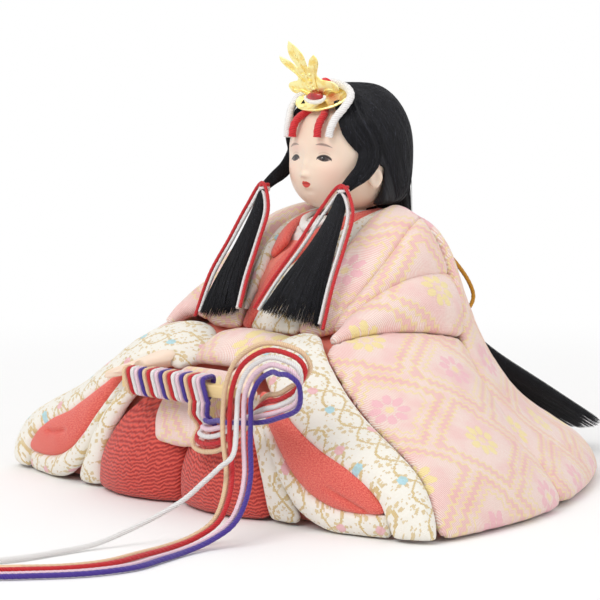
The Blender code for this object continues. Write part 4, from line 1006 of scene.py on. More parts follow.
def buildCloth():
    robe = robeFinish()
    tuckedCloth()
    cream = creamFinish()
    coral = crepeFinish()
    hakama = hakamaFinish()
    white = whiteSilkFinish()
    fine = pads["fineVoxel"]
    padPiece("outer_robe", ["robe_back", "sleeve_left", "sleeve_right"], robe, cone=True,
             voxel=pads["backVoxel"], filler=fillSeam)
    for label in sides:
        for part in ("arm_fold_", "arm_upper_", "robe_front_"):
            padPiece("padded_" + part + label, [part + label], robe, cone=True)
        for part in ("sleeve_cuff_", "sleeve_hem_", "sleeve_fold_"):
            padPiece("padded_" + part + label, [part + label], cream, cone="cuff" in part)
        lining = padPiece("padded_lining_" + label, ["sleeve_lining_" + label], coral,
                          voxel=fine)
        foldCloth(lining, folds[label])
        padPiece("pleated_skirt_" + label, ["hakama_" + label], hakama)
        padPiece("coral_collar_" + label, ["collar_coral_" + label], coral, voxel=fine)
    for part in ("lap_panel", "waist_panel"):
        padPiece("padded_" + part, [part], robe)
    padPiece("padded_chest", ["chest_panel"], cream, voxel=fine)
    padPiece("cream_collar", ["collar_cream_right"], cream, voxel=fine)
    padPiece("white_collar", ["collar_white"], white, voxel=fine)
    neckCloth(white)
    print("cloth padded")


# Hair

hair = {
    "voxel": 0.00055,
    "rounds": 6,
    "headMiddle": (0.0, 0.004, 0.1075),
    "pole": (0.0, -0.0065, 0.1290),     # the hair is combed away from under the crown
    "capStrands": 620,
    "capSteps": 18,
    "capLift": 0.00004,
    "capStart": (0.10, 0.9),            # radians from the pole
    "capEnd": 2.6,
    "waver": 0.04,
    "strandRadius": 0.000080,
    "sections": 48,
    "fray": 0.0017,                     # how unevenly the strands of a cut end stop
    "bodyShare": 0.94,                  # the body of a hank lies inside its loose strands
    "shrink": 0.00022,
    "ring": 40,                         # points round a hank's section
    "seed": 7,
    # dark and lighter strands, and the painted highlight along them
    "tints": (colour(3, 3, 6), colour(44, 44, 54), colour(128, 132, 150)),
}

hanks = {
    "tail": {
        "route": [(0.0, 0.0185, 0.0882), (0.0, 0.0252, 0.0785), (0.0, 0.0301, 0.0680),
                  (0.00095, 0.0345, 0.0575), (0.0022, 0.0395, 0.0495), (0.0040, 0.0475, 0.0420),
                  (0.0060, 0.0590, 0.0335), (0.0080, 0.0755, 0.0240), (0.0095, 0.0910, 0.0158),
                  (0.0105, 0.1040, 0.0092)],
        "half": (0.0118, 0.0030),
        "widths": [0.68, 0.60, 0.66, 0.72, 0.80, 0.88, 0.94, 0.98, 1.00, 0.94],
        "depths": [0.85, 0.90, 0.95, 1.00, 1.05, 1.08, 1.08, 1.05, 1.00, 0.85],
        "away": (0, 1, 1),              # the way that the thin side of its section faces
        "power": 2.6,                   # how square that section is
        "bodyEnd": 45,                  # of all its sections
        "strands": 620,
        "steps": 30,
        "spread": 0.05,                 # how far a strand drifts sideways
        "longer": 0.0016,               # than the hank, at most
    },
    "mane": {
        "route": [(0.0, 0.0080, 0.1060), (0.0, 0.0130, 0.0970), (0.0, 0.0165, 0.0900),
                  (0.0, 0.0198, 0.0845), (0.0, 0.0240, 0.0795)],
        "half": (0.0168, 0.0085),
        "widths": [1.00, 0.93, 0.72, 0.48, 0.40],
        "depths": [1.00, 0.82, 0.53, 0.36, 0.30],
        "away": (0, 1, 0.35),
        "power": 2.2,
        "bodyEnd": 48,
        "strands": 260,
        "steps": 12,
        "spread": 0.02,
        "longer": 0.0002,
    },
    "lock": {
        "route": [(0.0085, -0.0085, 0.1215), (0.0138, -0.0102, 0.1142), (0.0170, -0.0070, 0.1062),
                  (0.0177, -0.0102, 0.1003), (0.0179, -0.0156, 0.0968), (0.0179, -0.0197, 0.0941)],
        "half": (0.0053, 0.0014),
        "widths": [0.85, 0.94, 1.00, 0.80, 0.48, 0.28],
        "depths": [0.80, 1.00, 1.05, 1.05, 1.00, 0.95],
        "away": (1, -0.42, 0.12),
        "power": 2.2,
        "bodyEnd": 48,
        "strands": 200,
        "steps": 18,
        "spread": 0.02,
        "longer": 0.0002,
    },
    "tuft": {
        "route": [(0.0179, -0.0197, 0.0941), (0.0178, -0.0226, 0.0865), (0.0174, -0.0286, 0.0760),
                  (0.0168, -0.0358, 0.0650), (0.0162, -0.0405, 0.0560)],
        "half": (0.0102, 0.0027),
        "widths": [0.15, 0.34, 0.58, 0.83, 1.00],
        "depths": [0.40, 0.75, 0.95, 1.00, 1.00],
        "away": (0.21, -1, 0),
        "power": 2.4,
        "bodyEnd": 42,
        "strands": 620,
        "steps": 14,
        "spread": 0.07,
        "longer": 0.0012,
    },
}


def hairFinish():
    # Dressed silk threads: fine lines along the flow in black, with streaks of cool painted highlight
    silk = Finish("blackSilk", {"Specular IOR Level": 0.30})
    threads = silk.split(silk.attribute("strand"))
    fine = silk.streaks(threads, (3.2, 3.2, 0.06), 3.0, 0.6)
    broad = silk.streaks(threads, (0.7, 0.7, 0.03))
    deep, light, gleam = hair["tints"]
    tint = silk.mix(silk.ramp(fine, 0.46, 0.72) * 0.7 + broad * 0.2, deep, light)
    # Painted highlight: the gleam colour is laid along the brightest fine lines
    tint = silk.mix(silk.ramp(fine, 0.64, 0.74) * 0.5, tint, gleam)
    silk.bump(fine + broad * 0.5, 0.00030, 1.0)
    return silk.paint(tint, 0.40 + fine * 0.25)


def hankSections(shape, side, count):
    # Where a hank runs, which ways its flat section lies, and how large that section is
    line = smoothRow(mirrored(shape["route"], side), count)
    sizes = smoothRow([Vector((w, d, 0)) for w, d in zip(shape["widths"], shape["depths"])], count)
    sections = []
    for i, middle in enumerate(line):
        run = (line[min(i + 1, count)] - line[max(i - 1, 0)]).normalized()
        away = Vector((side * shape["away"][0], shape["away"][1], shape["away"][2]))
        away = (away - run * away.dot(run)).normalized()
        cross = run.cross(away)
        sections.append((middle, cross * (sizes[i].x * shape["half"][0]),
                         away * (sizes[i].y * shape["half"][1])))
    return sections


def strandBundle(name, lines, material):
    # Loose strands as thin tubes that narrow to their tips
    curve = bpy.data.curves.new(name, "CURVE")
    curve.dimensions = "3D"
    curve.bevel_depth = hair["strandRadius"]
    curve.bevel_resolution = 0
    curve.use_fill_caps = True
    for points in lines:
        spline = curve.splines.new("POLY")
        spline.points.add(len(points) - 1)
        for i, (node, place) in enumerate(zip(spline.points, points)):
            node.co = (*place, 1)
            node.radius = 1 if i < len(points) - 3 else 0.35 + 0.2 * (len(points) - 1 - i)
    bm = curveMesh(name, curve)
    outward(bm)
    piece = addPiece(name, bm, material, "head")
    storeByPlace(piece, "strand", lambda place: (place.x / mm, place.y / mm, place.z / mm * 0.2))


def hairShell(name, source, material):
    # The mass of the cap, smoothed from its solid
    piece = addPiece(name, solidCopy([source]), material, "head")
    evenOut(piece, hair["voxel"], hair["rounds"])
    storeByPlace(piece, "strand", capFlow)
    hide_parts(source)
    return piece


def hankBody(name, shape, side, material, source):
    # The mass of a hank: rounded sections carried along its route and closed at both ends
    sections = hankSections(shape, side, hair["sections"])[:shape["bodyEnd"] + 1]
    count = hair["ring"]
    bm = bmesh.new()
    rings = []
    vectors = []
    for k, (middle, cross, away) in enumerate(sections):
        ring = []
        for i in range(count):
            turn = 2 * math.pi * i / count
            c = math.cos(turn)
            s = math.sin(turn)
            reach = squareReach(c, s, shape["power"])
            off = (cross * (c * reach) + away * (s * reach)) * hair["bodyShare"]
            off -= off.normalized() * hair["shrink"]
            ring.append(bm.verts.new(middle + off))
            vectors.append((off.dot(cross.normalized()) / mm, off.dot(away.normalized()) / mm, k * 1.5))
        rings.append(ring)
    for ring, following in zip(rings, rings[1:]):
        for i in range(count):
            bm.faces.new((ring[i], ring[(i + 1) % count], following[(i + 1) % count], following[i]))
    bm.faces.new(rings[0])
    bm.faces.new(rings[-1])
    outward(bm)
    piece = addPiece(name, bm, material, "head")
    storeVectors(piece, "strand", vectors)
    if source:
        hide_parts(source)


def combing():
    # The pole from which the cap's hair is combed, with the two ways across it
    middle = Vector(hair["headMiddle"])
    pole = (Vector(hair["pole"]) - middle).normalized()
    first = Vector((1, 0, 0))
    return middle, pole, first, pole.cross(first)


def capFlow(place):
    middle, pole, first, second = combing()
    off = (place - middle).normalized()
    turn = math.atan2(off.dot(second), off.dot(first))
    return (math.cos(turn) * 20, math.sin(turn) * 20, off.angle(pole) * 20)


def capStrands(cap, rng):
    # Strands follow the cap's own surface from the pole down to its rim
    tree = BVHTree.FromPolygons([v.co for v in cap.data.vertices], [p.vertices for p in cap.data.polygons])
    middle, pole, first, second = combing()
    count = hair["capStrands"]
    steps = hair["capSteps"]
    lines = []
    for i in range(count):
        turn = 2 * math.pi * (i + rng.random()) / count
        sideways = first * math.cos(turn) + second * math.sin(turn)
        start = rng.uniform(*hair["capStart"])
        waver = rng.uniform(-hair["waver"], hair["waver"])
        line = []
        for s in range(steps):
            lean = start + (hair["capEnd"] - start) * s / (steps - 1)
            ways = sideways + pole.cross(sideways) * (waver * s / steps)
            ray = (pole * math.cos(lean) + ways * math.sin(lean)).normalized()
            hit, normal = tree.ray_cast(middle + ray * 0.06, -ray)[:2]
            if hit is None or (hit - middle).dot(ray) < 0.0125 or normal.dot(ray) < 0.25:
                break    # past the rim, or on the cap's inner wall
            line.append(hit + normal * (hair["capLift"] + rng.uniform(0, 0.00005)))
        if len(line) > 4:
            lines.append(line)
    return lines


def hankStrands(shape, side, rng):
    # Strands on the skin of a hank, some of which stray and stop early or late
    steps = shape["steps"]
    count = shape["strands"]
    sections = hankSections(shape, side, steps)
    run = sections[-1][0] - sections[-2][0]
    lines = []
    for i in range(count):
        turn = 2 * math.pi * (i + rng.random()) / count
        c = math.cos(turn)
        s = math.sin(turn)
        deep = rng.uniform(0.91, 1.03) if rng.random() < 0.72 else rng.uniform(0.1, 0.9)
        reach = squareReach(c, s, shape["power"]) * deep
        drift = rng.uniform(-shape["spread"], shape["spread"])
        line = []
        for k, (middle, cross, away) in enumerate(sections):
            stray = drift * k / steps
            line.append(middle + cross * ((c + stray) * reach) + away * ((s + stray * 0.4) * reach))
        tip = (line[-1] - line[-2]).normalized()
        line.append(line[-1] + tip * rng.uniform(-hair["fray"] * 0.3, shape["longer"]) + run * 0.01)
        lines.append(line)
    return lines


def buildHair():
    rng = random.Random(hair["seed"])
    silk = hairFinish()
    cap = hairShell("dressed_cap", "hair_cap", silk)
    strandBundle("cap_strands", capStrands(cap, rng), silk)
    hankList = [("long_tail", "tail", 1, "hair_tail"), ("gathered_mane", "mane", 1, None)]
    for label, side in sides.items():
        hankList.append(("swept_lock_" + label, "lock", side, "side_lock_" + label))
        hankList.append(("hanging_tuft_" + label, "tuft", side, "side_tuft_" + label))
    for name, part, side, source in hankList:
        hankBody(name, hanks[part], side, silk, source)
        strandBundle(name + "_strands", hankStrands(hanks[part], side, rng), silk)
    print("hair dressed")


# Head and face, in millimetres from the middle of the head

face = {
    "middle": (0.0, -0.0012, 0.1055),
    "half": (16.6, 16.9, 18.6),
    "cheekPower": 2.4,
    "jawPower": 3.2,
    "jawDraw": 0.16,
    "bumps": [
        # across (both sides where not 0), up, half width, half height, how far it stands out
        (0.0, -9.5, 8.5, 7.5, 0.85),       # the lower face
        (0.0, -7.1, 1.50, 1.10, 1.45),     # tip of the nose
        (0.0, -4.3, 1.10, 2.8, 0.95),      # bridge
        (0.0, 0.4, 1.6, 2.6, 0.30),        # root of the nose
        (1.40, -7.5, 0.8, 0.8, 0.35),      # nostrils
        (6.5, -1.4, 4.3, 2.6, -1.15),      # eye sockets
        (6.3, 3.4, 4.4, 1.8, 0.25),        # brows
        (6.5, -2.0, 2.6, 1.0, 0.30),       # the balls of the eyes
        (8.4, -7.5, 4.6, 4.6, 0.35),       # cheeks
        (0.85, -9.25, 0.95, 0.65, 0.60),   # upper lip
        (0.0, -10.7, 1.45, 0.70, 0.62),    # lower lip
        (0.0, -9.9, 2.0, 0.22, -0.28),     # the parting of the lips
        (0.0, -12.3, 2.4, 0.8, -0.28),     # under the lip
        (0.0, -15.4, 3.6, 2.3, 0.55),      # chin
    ],
    "neckRadius": 0.0060,
    "neckTop": 0.0989,
    "earHalf": (0.0014, 0.0026, 0.0034),
    "earPlace": (0.0166, -0.0041, 0.0975),
    "earTurn": -14,
    "voxel": 0.00030,
    "eyeAcross": 6.45,
    "eyeUp": -2.0,
    "eyeHalf": 2.50,
    "lidRise": 1.05,
    "lidDrop": 0.80,
    "irisSize": (1.35, 1.9),    # its colour ends softly between these
    "pupilSize": 0.6,
    "browAcross": 6.6,
    "browUp": 1.9,
    "browHalf": 2.9,
    "mouthUp": -9.95,
    "mouthHalf": 1.85,
    "lipRise": 0.95,
    "lipDrop": 1.15,
}

skinPaint = {
    "ground": (colour(242, 220, 200), colour(232, 203, 180)),
    "cheek": colour(243, 182, 164),
    "shadow": colour(240, 178, 170),       # over the eye
    "crease": colour(150, 95, 80),
    "eye": colour(132, 118, 114),
    "iris": colour(58, 44, 42),
    "pupil": colour(14, 11, 11),
    # a painted highlight in one eye
    "gleam": colour(230, 226, 224),
    "lid": colour(28, 20, 20),
    "brow": colour(92, 72, 68),
    "lips": colour(214, 52, 44),
    "parting": colour(140, 20, 22),
}


def facePoint(v):
    # A point of the unit ball moved to the face; the power makes the cheeks fuller than round
    x, y, z = v
    flat = math.hypot(x, y)
    if flat:
        reach = squareReach(x / flat, y / flat, face["cheekPower"])
        if z < 0:
            reach = reach * max(0, 1 - abs(z) ** face["jawPower"]) ** (1 / face["jawPower"]) / flat
        x = x * reach
        y = y * reach
    if z < 0:
        x = x * (1 - face["jawDraw"] * z * z)
    place = Vector((x * face["half"][0], y * face["half"][1], z * face["half"][2]))
    if y < 0:
        for across, up, wide, tall, out in face["bumps"]:
            off = abs(place.x) - across
            place.y -= out * math.exp(-(off / wide) ** 2 - ((place.z - up) / tall) ** 2)
    return place * mm + Vector(face["middle"])


def skinFinish():
    # Polished shell-white paint with the eyes, brows and lips brushed on
    skin = Finish("shellWhiteSkin", {"Coat Roughness": 0.25, "Specular IOR Level": 0.45,
                                     "Subsurface Weight": 0.12, "Subsurface Scale": 0.002,
                                     "Subsurface Radius": (1.0, 0.5, 0.3)})
    x, y, z = skin.split(skin.place(centre=face["middle"]))
    out = x.size()
    front = y < -5.0

    span = (out - face["eyeAcross"]) / face["eyeHalf"]
    arch = span.arch()
    high = z - face["eyeUp"] + span * 0.22
    lidTop = arch ** 0.8 * face["lidRise"]
    eye = (span.size() < 1.0) * (high < lidTop) * (high > arch * -face["lidDrop"]) * front
    irisReach = spanOf(out - face["eyeAcross"] + 0.15, high - 0.15)
    iris = skin.fade(irisReach, *face["irisSize"])
    pupil = irisReach < face["pupilSize"]
    # A painted highlight: a small light spot in the eye on the +X side
    gleam = (spanOf(x - face["eyeAcross"] + 0.7, high - 0.35) < 0.22) * eye
    lid = skin.fade((high - lidTop + 0.12).size(), 0.26, 0.50) * (span.size() < 1.04) * front
    crease = skin.fade((high - lidTop - 0.85).size(), 0.10, 0.40) * (span.size() < 0.8) * front

    span = (out - face["browAcross"]) / face["browHalf"]
    arch = span.arch()
    off = (z - face["browUp"] - arch * 0.6 + span * 0.45).size()
    hairs = skin.streaks((out, z), (0.7, 6.0))
    brow = skin.fade(off, arch * 0.20, arch * 0.55 + 0.02) * (span.size() < 1.0)
    brow = brow * front * (0.40 + hairs * 0.5)

    span = out / face["mouthHalf"]
    curve = span.arch() ** 0.7
    lipHigh = z - face["mouthUp"]
    top = curve * face["lipRise"] - skin.fade(out, 0.0, 0.55) * 0.22
    bottom = curve * -face["lipDrop"]
    lips = skin.fade(lipHigh, top - 0.1, top + 0.12) * skin.ramp(lipHigh, bottom - 0.12, bottom + 0.1)
    lips = lips * (span.size() < 1.0) * front
    parting = skin.fade((lipHigh - 0.05).size(), 0.04, 0.20) * (span.size() < 0.92) * front

    soft = skin.noise(skin.join(x, y, z), 0.18, 2.0)
    cheek = skin.fade(spanOf((out - 9.0) / 5.0, (z + 6.5) / 4.5), 0.1, 1.5)
    shadow = skin.fade(spanOf((out - 6.6) / 4.2, (z - 1.6) / 1.9), 0.2, 1.3)
    layers = [
        (cheek * 0.30 * front, "cheek"), (shadow * 0.28 * front, "shadow"), (crease * 0.22, "crease"),
        (eye, "eye"), (iris * eye * 0.9, "iris"), (pupil * eye, "pupil"), (gleam * 0.45, "gleam"),
        (lid * 0.92, "lid"), (brow, "brow"), (lips * 0.95, "lips"), (parting * 0.8, "parting"),
    ]
    tint = skin.mix(soft * 0.35, *skinPaint["ground"])
    for share, name in layers:
        tint = skin.mix(share, tint, skinPaint[name])
    skin.bump(soft, 0.00005, 0.4)
    return skin.paint(tint, 0.34 + soft * 0.08 - lips * 0.08 - eye * 0.18)


def addEar(bm, side):
    x, y, z = face["earPlace"]
    place = spot((side * x, y, z), tilted(side * face["earTurn"], "Z"))
    for v in bmesh.ops.create_icosphere(bm, subdivisions=4, radius=1)["verts"]:
        hollow = math.exp(-((v.co.y + 0.15) / 0.5) ** 2 - ((v.co.z - 0.05) / 0.62) ** 2)
        lobe = 1 - 0.22 * max(0, -v.co.z)
        across = v.co.x * side
        across = side * (across - (0.75 * hollow if across > 0 else 0))
        shaped = [part * half for part, half in zip((across, v.co.y * lobe, v.co.z), face["earHalf"])]
        v.co = place @ Vector(shaped)


def buildHead(skin):
    bm = bmesh.new()
    bmesh.ops.create_icosphere(bm, subdivisions=6, radius=1)
    for v in bm.verts:
        v.co = facePoint(v.co)
    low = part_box("head")[0]
    depth = face["neckTop"] - low.z
    bmesh.ops.create_cone(bm, cap_ends=True, segments=64, radius1=face["neckRadius"] * 1.04,
                          radius2=face["neckRadius"] * 0.96, depth=depth,
                          matrix=spot((0, 0, low.z + depth / 2)))
    for side in sides.values():
        addEar(bm, side)
    piece = addPiece("painted_head", bm, skin, "head")
    evenOut(piece, face["voxel"], 3, 0)
    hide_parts("head")
    print("head painted")


hands = {
    "route": [(0.0195, -0.0550, 0.0423), (0.0207, -0.0617, 0.0414), (0.0240, -0.0678, 0.0397),
              (0.0292, -0.0709, 0.0380), (0.0339, -0.0720, 0.0364)],
    "steps": 40,
    "half": 0.0046,
    "grooves": [-0.46, 0.02, 0.48],   # between the fingers, across the hand
    "groovePlace": 0.42,              # the fingers part from here on
    "grooveDepth": 0.00060,
    "grooveWidth": 0.11,
    "voxel": 0.00026,
}


def buildHands(skin):
    last = hands["steps"]
    for label, side in sides.items():
        piece = addPiece("carved_hand_" + label, solidCopy(["hand_" + label]), skin, "torso")
        evenOut(piece, hands["voxel"], 5)
        line = smoothRow(mirrored(hands["route"], side), last)

        def groove(place):
            k = nearest(line, place)
            run = (line[min(k + 1, last)] - line[max(k - 1, 0)]).normalized()
            cross = run.cross(Vector((0, 0, 1))).normalized()
            across = (place - line[k]).dot(cross) / hands["half"]
            depth = sum(math.exp(-((across - g) / hands["grooveWidth"]) ** 2) for g in hands["grooves"])
            share = min(1, max(0, (k / last - hands["groovePlace"]) / 0.15))
            return -hands["grooveDepth"] * depth * share

        pushOut(piece, groove)
        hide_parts("hand_" + label)
    print("hands carved")


# Crown

crown = {
    "tilt": 38.0,                # degrees
    "plateForward": 0.0105,      # the plate's middle, in front of the neck
    "plateRise": 0.1224,
    "half": (0.0113, 0.0069),
    "profile": [                 # share of the reach and height of each ring of the plate
        (0.965, 0.00000), (1.0, 0.00020), (1.0, 0.00055), (0.95, 0.00078), (0.89, 0.00052),
        (0.84, 0.00030), (0.55, 0.00016), (0.25, 0.00022), (0.10, 0.00036),
    ],
    "segments": 72,
    "flutes": 30,
    "fluteDepth": 0.00010,
    "fluted": (0.80, 0.98),      # between these shares of the plate's reach
    "pin": (0.0003, 0.0006, 0.0108),    # radius below and above, and length
    "pinRise": -0.0052,          # from the plate to the pin's middle
    "sprayLean": 37.5,           # it stands square on the plate
    "sprayFoot": (0.0, -0.0117, 0.1215),
    "sprayThick": 0.00042,
    "sprayBevel": 0.00014,
    "ribThick": 0.00028,
    "beads": [(0.0, 8.0, 0.0010), (-1.6, 10.6, 0.0006), (1.6, 10.6, 0.0006), (0.0, 5.0, 0.0007)],
    "gold": (colour(255, 246, 178), colour(250, 222, 128)),
}

sprayOutline = [                 # mm across and up one half of the spray; 1 where it is a point
    (2.0, -1.0, 0), (2.2, 1.4, 0), (4.4, 3.0, 0), (7.0, 3.9, 0), (9.3, 3.5, 0), (10.7, 5.0, 0),
    (10.1, 6.9, 0), (7.6, 7.8, 0), (5.2, 8.4, 0), (4.2, 10.0, 0), (5.4, 11.9, 0), (7.3, 14.3, 0),
    (8.0, 16.2, 0), (7.5, 17.8, 1), (5.2, 16.4, 0), (3.4, 14.4, 0), (2.3, 13.2, 0), (2.3, 14.8, 0),
    (2.8, 17.6, 0), (1.9, 20.8, 0), (0.0, 23.3, 1),
]
sprayRibs = [                    # the same, from the foot out along each leaf
    [(0.9, 2.0), (2.6, 8.0), (5.4, 13.4), (7.2, 16.6)], [(0.0, 2.0), (0.0, 9.0), (0.0, 15.0), (0.0, 21.5)],
    [(1.6, 2.0), (5.0, 4.6), (8.4, 4.8), (9.4, 6.2)],
]


def gildingFinish():
    gilt = Finish("gilding", {"Metallic": 1.0, "Coat Weight": 0.15, "Coat Roughness": 0.15})
    place = gilt.place()
    dents = gilt.noise(place, 0.45, 2.0)
    fine = gilt.noise(place, 6.0, 2.0)
    light, deep = crown["gold"]
    gilt.bump(dents + fine * 0.10, 0.00030, 0.6)
    return gilt.paint(gilt.mix(gilt.ramp(dents, 0.30, 0.60), deep, light), 0.30 + fine * 0.14)


def onPlate(x, slope, lift):
    tilt = math.radians(crown["tilt"])
    return Vector((x, -crown["plateForward"] + slope * math.cos(tilt) - lift * math.sin(tilt),
                   crown["plateRise"] + slope * math.sin(tilt) + lift * math.cos(tilt)))


def buildPlate(gilt):
    # A dished plate with a rolled and fluted rim, spun and then pressed oval
    bm = bmesh.new()
    verts = [bm.verts.new((0, 0, 0))] + [bm.verts.new((share, 0, lift)) for share, lift in crown["profile"]]
    verts.append(bm.verts.new((0, 0, crown["profile"][-1][1])))
    edges = [bm.edges.new(pair) for pair in zip(verts, verts[1:])]
    bmesh.ops.spin(bm, geom=verts + edges, cent=(0, 0, 0), axis=(0, 0, 1), angle=2 * math.pi,
                   steps=crown["segments"], use_merge=True)
    bmesh.ops.remove_doubles(bm, verts=bm.verts, dist=1e-5)
    outward(bm)
    inner, outer = crown["fluted"]
    for v in bm.verts:
        reach = math.hypot(v.co.x, v.co.y)
        turn = math.atan2(v.co.y, v.co.x)
        flute = crown["fluteDepth"] * math.cos(turn * crown["flutes"]) if inner < reach < outer else 0
        v.co = onPlate(v.co.x * crown["half"][0], v.co.y * crown["half"][1], v.co.z + flute)
    plate = addPiece("gilt_plate", bm, gilt, "crown", 40)
    pin = bmesh.new()
    below, above, length = crown["pin"]
    bmesh.ops.create_cone(pin, cap_ends=True, segments=20, radius1=below, radius2=above, depth=length,
                          matrix=spot(onPlate(0, 0, crown["pinRise"]), tilted(crown["tilt"])))
    addPiece("gilt_pin", pin, gilt, "crown", 40)
    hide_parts("crown_plate")


def flatOutline(name, outline, thick, bevel):
    # A thin cut sheet with rounded edges, from a closed smooth outline
    curve = bpy.data.curves.new(name, "CURVE")
    curve.dimensions = "2D"
    curve.fill_mode = "BOTH"
    curve.resolution_u = 6
    curve.extrude = thick / 2 - bevel
    curve.bevel_depth = bevel
    curve.bevel_resolution = 2
    spline = curve.splines.new("BEZIER")
    spline.bezier_points.add(len(outline) - 1)
    spline.use_cyclic_u = True
    for point, (x, y, sharp) in zip(spline.bezier_points, outline):
        point.co = (x, y, 0)
        point.handle_left_type = point.handle_right_type = "VECTOR" if sharp else "AUTO"
    bm = curveMesh(name, curve)
    bmesh.ops.remove_doubles(bm, verts=bm.verts, dist=1e-6)
    return bm


def ridge(bm, points, radius, segments=8):
    # A raised line that narrows to both ends, laid along points
    for i, (a, b) in enumerate(zip(points, points[1:])):
        share = math.sin(math.pi * (i + 0.5) / (len(points) - 1))
        thick = radius * (0.35 + 0.65 * share)
        bmesh.ops.create_uvsphere(bm, u_segments=segments, v_segments=6, radius=thick,
                                  matrix=spot((a + b) / 2, aimed(b - a), (1, 1, 2.6)))


def buildSpray(gilt):
    half = [(x * mm, y * mm, sharp) for x, y, sharp in sprayOutline]
    outline = half + [(-x, y, sharp) for x, y, sharp in reversed(half[:-1])]
    bm = flatOutline("spray", outline, crown["sprayThick"], crown["sprayBevel"])
    raised = crown["sprayThick"] / 2
    for rib in sprayRibs:
        for side in ((1,) if rib[0][0] == 0 else (1, -1)):
            ridge(bm, smoothRow([(side * x * mm, y * mm, raised) for x, y in rib], 16), crown["ribThick"])
    for x, y, size in crown["beads"]:
        bmesh.ops.create_uvsphere(bm, u_segments=20, v_segments=10, radius=size,
                                  matrix=spot((x * mm, y * mm, raised), size=(1, 1, 0.5)))
    stand = spot(crown["sprayFoot"], tilted(90 + crown["sprayLean"]))
    bmesh.ops.transform(bm, matrix=stand, verts=bm.verts)
    outward(bm)
    spray = addPiece("gilt_spray", bm, gilt, "crown", 35)
    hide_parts("crown_spray")


jewels = {
    "oval": (0, -0.0143, 0.1230),
    "ovalHalf": (0.0036, 0.0014, 0.0016),
    "ovalTints": (colour(120, 8, 14), colour(214, 24, 30)),
    "crescent": (0.0006, -0.0150, 0.1229),
    "crescentHalf": (0.0043, 0.0017),
    "crescentThick": 0.0008,
    "crescentTints": (colour(250, 249, 246), colour(226, 222, 214)),
    "knotShift": (0, 0.0004, 0.0010),
    "knotGrow": 1.15,          # against the knot's solid
    "knotPly": 0.07,           # how deep its plies are
    "knotTwist": 2.2,
}


def buildJewels():
    glass = grainFinish("redEnamel", {"Coat Weight": 0.6, "Coat Roughness": 0.05}, (0.6, 2.0),
                        jewels["ovalTints"], (0.10, 0.08))
    bm = bmesh.new()
    bmesh.ops.create_uvsphere(bm, u_segments=40, v_segments=24, radius=1,
                              matrix=spot(jewels["oval"], tilted(crown["tilt"]), jewels["ovalHalf"]))
    addPiece("red_oval", bm, glass, "crown")

    white = grainFinish("whiteEnamel", {"Coat Weight": 0.3}, (1.6, 2.0), jewels["crescentTints"],
                        (0.28, 0.12))
    x, y, z = jewels["crescent"]
    wide, tall = jewels["crescentHalf"]
    points = []
    for i in range(29):
        turn = math.radians(-180 + 180 * i / 28)
        points.append(Vector((x + wide * math.cos(turn), y, z + tall * math.sin(turn))))
    bm = bmesh.new()
    ridge(bm, points, jewels["crescentThick"], 16)
    addPiece("white_crescent", bm, white, "crown")

    low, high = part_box("crown_knot")
    middle = (low + high) / 2 + Vector(jewels["knotShift"])
    radius = (high.x - low.x) / 2 * jewels["knotGrow"]
    bm = bmesh.new()
    bmesh.ops.create_icosphere(bm, subdivisions=5, radius=1)
    for v in bm.verts:
        turn = math.atan2(v.co.y, v.co.x) + jewels["knotTwist"] * v.co.z
        ply = 1 - jewels["knotPly"] * (1 - math.cos(3 * turn))
        v.co = middle + v.co * radius * ply
    knot = addPiece("silk_knot", bm, cordSilks["red"], "crown")
    storeByPlace(knot, "lay", lambda place: ((place.x + place.z) / mm, place.y / mm * 0.5,
                                             place.z / mm * 0.3))
    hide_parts("crown_knot")


def buildCrown():
    gilt = gildingFinish()
    buildPlate(gilt)
    buildSpray(gilt)
    buildJewels()
    print("crown set")


# Fan

fan = {
    "blades": 9,
    "gap": 0.00007,
    "guard": 1.5,          # the two outer blades are thicker
    "inset": 0.00022,      # and the inner ones shorter and lower
    "taper": 0.66,
    "bevel": 0.00016,
    "tints": (colour(247, 226, 176), colour(222, 184, 118)),
}


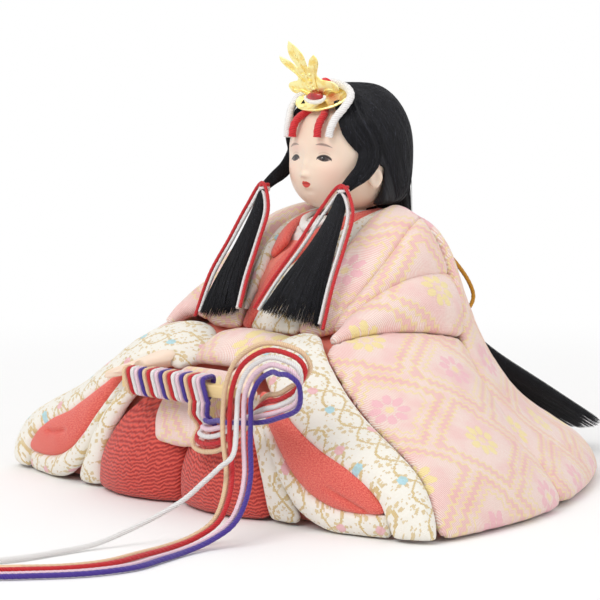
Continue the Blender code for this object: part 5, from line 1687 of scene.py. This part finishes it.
def buildFan():
    wood = Finish("cypress", {"Specular IOR Level": 0.35})
    ways = wood.split(wood.place())
    rings = wood.streaks(ways, (0.06, 2.0, 1.6), 3.0, 0.6)
    fine = wood.streaks(ways, (0.3, 9.0, 9.0))
    wood.bump(rings * 0.5 + fine * 0.5, 0.00006, 0.8)
    wood.paint(wood.mix(rings * 0.7 + fine * 0.3, *fan["tints"]), 0.45 + fine * 0.15)
    low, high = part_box("fan")
    share = (high.y - low.y) / (fan["blades"] - 2 + 2 * fan["guard"])
    middle = (low + high) / 2
    bm = bmesh.new()
    start = low.y
    for i in range(fan["blades"]):
        outer = i in (0, fan["blades"] - 1)
        thick = share * (fan["guard"] if outer else 1)
        inset = 0 if outer else fan["inset"]
        for v in bmesh.ops.create_cube(bm, size=1)["verts"]:
            taper = fan["taper"] if v.co.x > 0 else 1
            v.co = Vector((middle.x + v.co.x * (high.x - low.x - inset),
                           start + thick / 2 + v.co.y * (thick - fan["gap"]),
                           middle.z + v.co.z * (winding["fanHeight"] * taper - inset)))
        start += thick
    bmesh.ops.bevel(bm, geom=bm.edges[:], offset=fan["bevel"], segments=2, profile=0.5, affect="EDGES",
                    material=-1)
    piece = addPiece("closed_fan", bm, wood.material, "fan", 35)
    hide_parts("fan")
    print("fan closed")


solidTints = {
    "core": (colour(176, 104, 84), colour(214, 146, 118)),
    "card": (colour(214, 206, 190), colour(232, 226, 214)),
    "peg": (colour(226, 190, 138), colour(196, 150, 96)),
}


def dressSolids():
    # The carved core, the card under it and the peg keep their solids and get their finish
    core = Finish("woodDustPaste", {"Specular IOR Level": 0.2})
    grit = core.noise(core.place(), 1.4, 4.0, 0.65)
    core.bump(grit + core.cells(core.place(), 1.1) * 0.3, 0.0003, 0.8)
    core.paint(core.mix(grit, *solidTints["core"]), 0.85 + grit * 0.1)
    card = grainFinish("greyCard", {"Specular IOR Level": 0.2}, (0.9, 4.0, 0.7), solidTints["card"],
                       (0.88, 0.08), (0.00008, 0.6))
    peg = Finish("pegWood", {"Specular IOR Level": 0.3})
    grain = peg.streaks(peg.split(peg.place()), (1.6, 1.6, 0.08), 3.0, 0.6)
    peg.bump(grain, 0.00008, 0.8)
    peg.paint(peg.mix(grain, *solidTints["peg"]), 0.6 + grain * 0.15)
    for name, material in (("core_body", core.material), ("base_sheet", card), ("neck_peg", peg.material)):
        solid = nodes[name]
        if not solid.material_slots:
            solid.data.materials.append(material)
        for place in solid.material_slots:
            place.material = material
    print("solids finished")


placeCamera()
buildStudio()
placeLamps()
buildCords()
buildCloth()
buildHair()
shellSkin = skinFinish()
buildHead(shellSkin)
buildHands(shellSkin)
buildCrown()
buildFan()
dressSolids()

bpy.context.scene.view_settings.view_transform = "Standard"
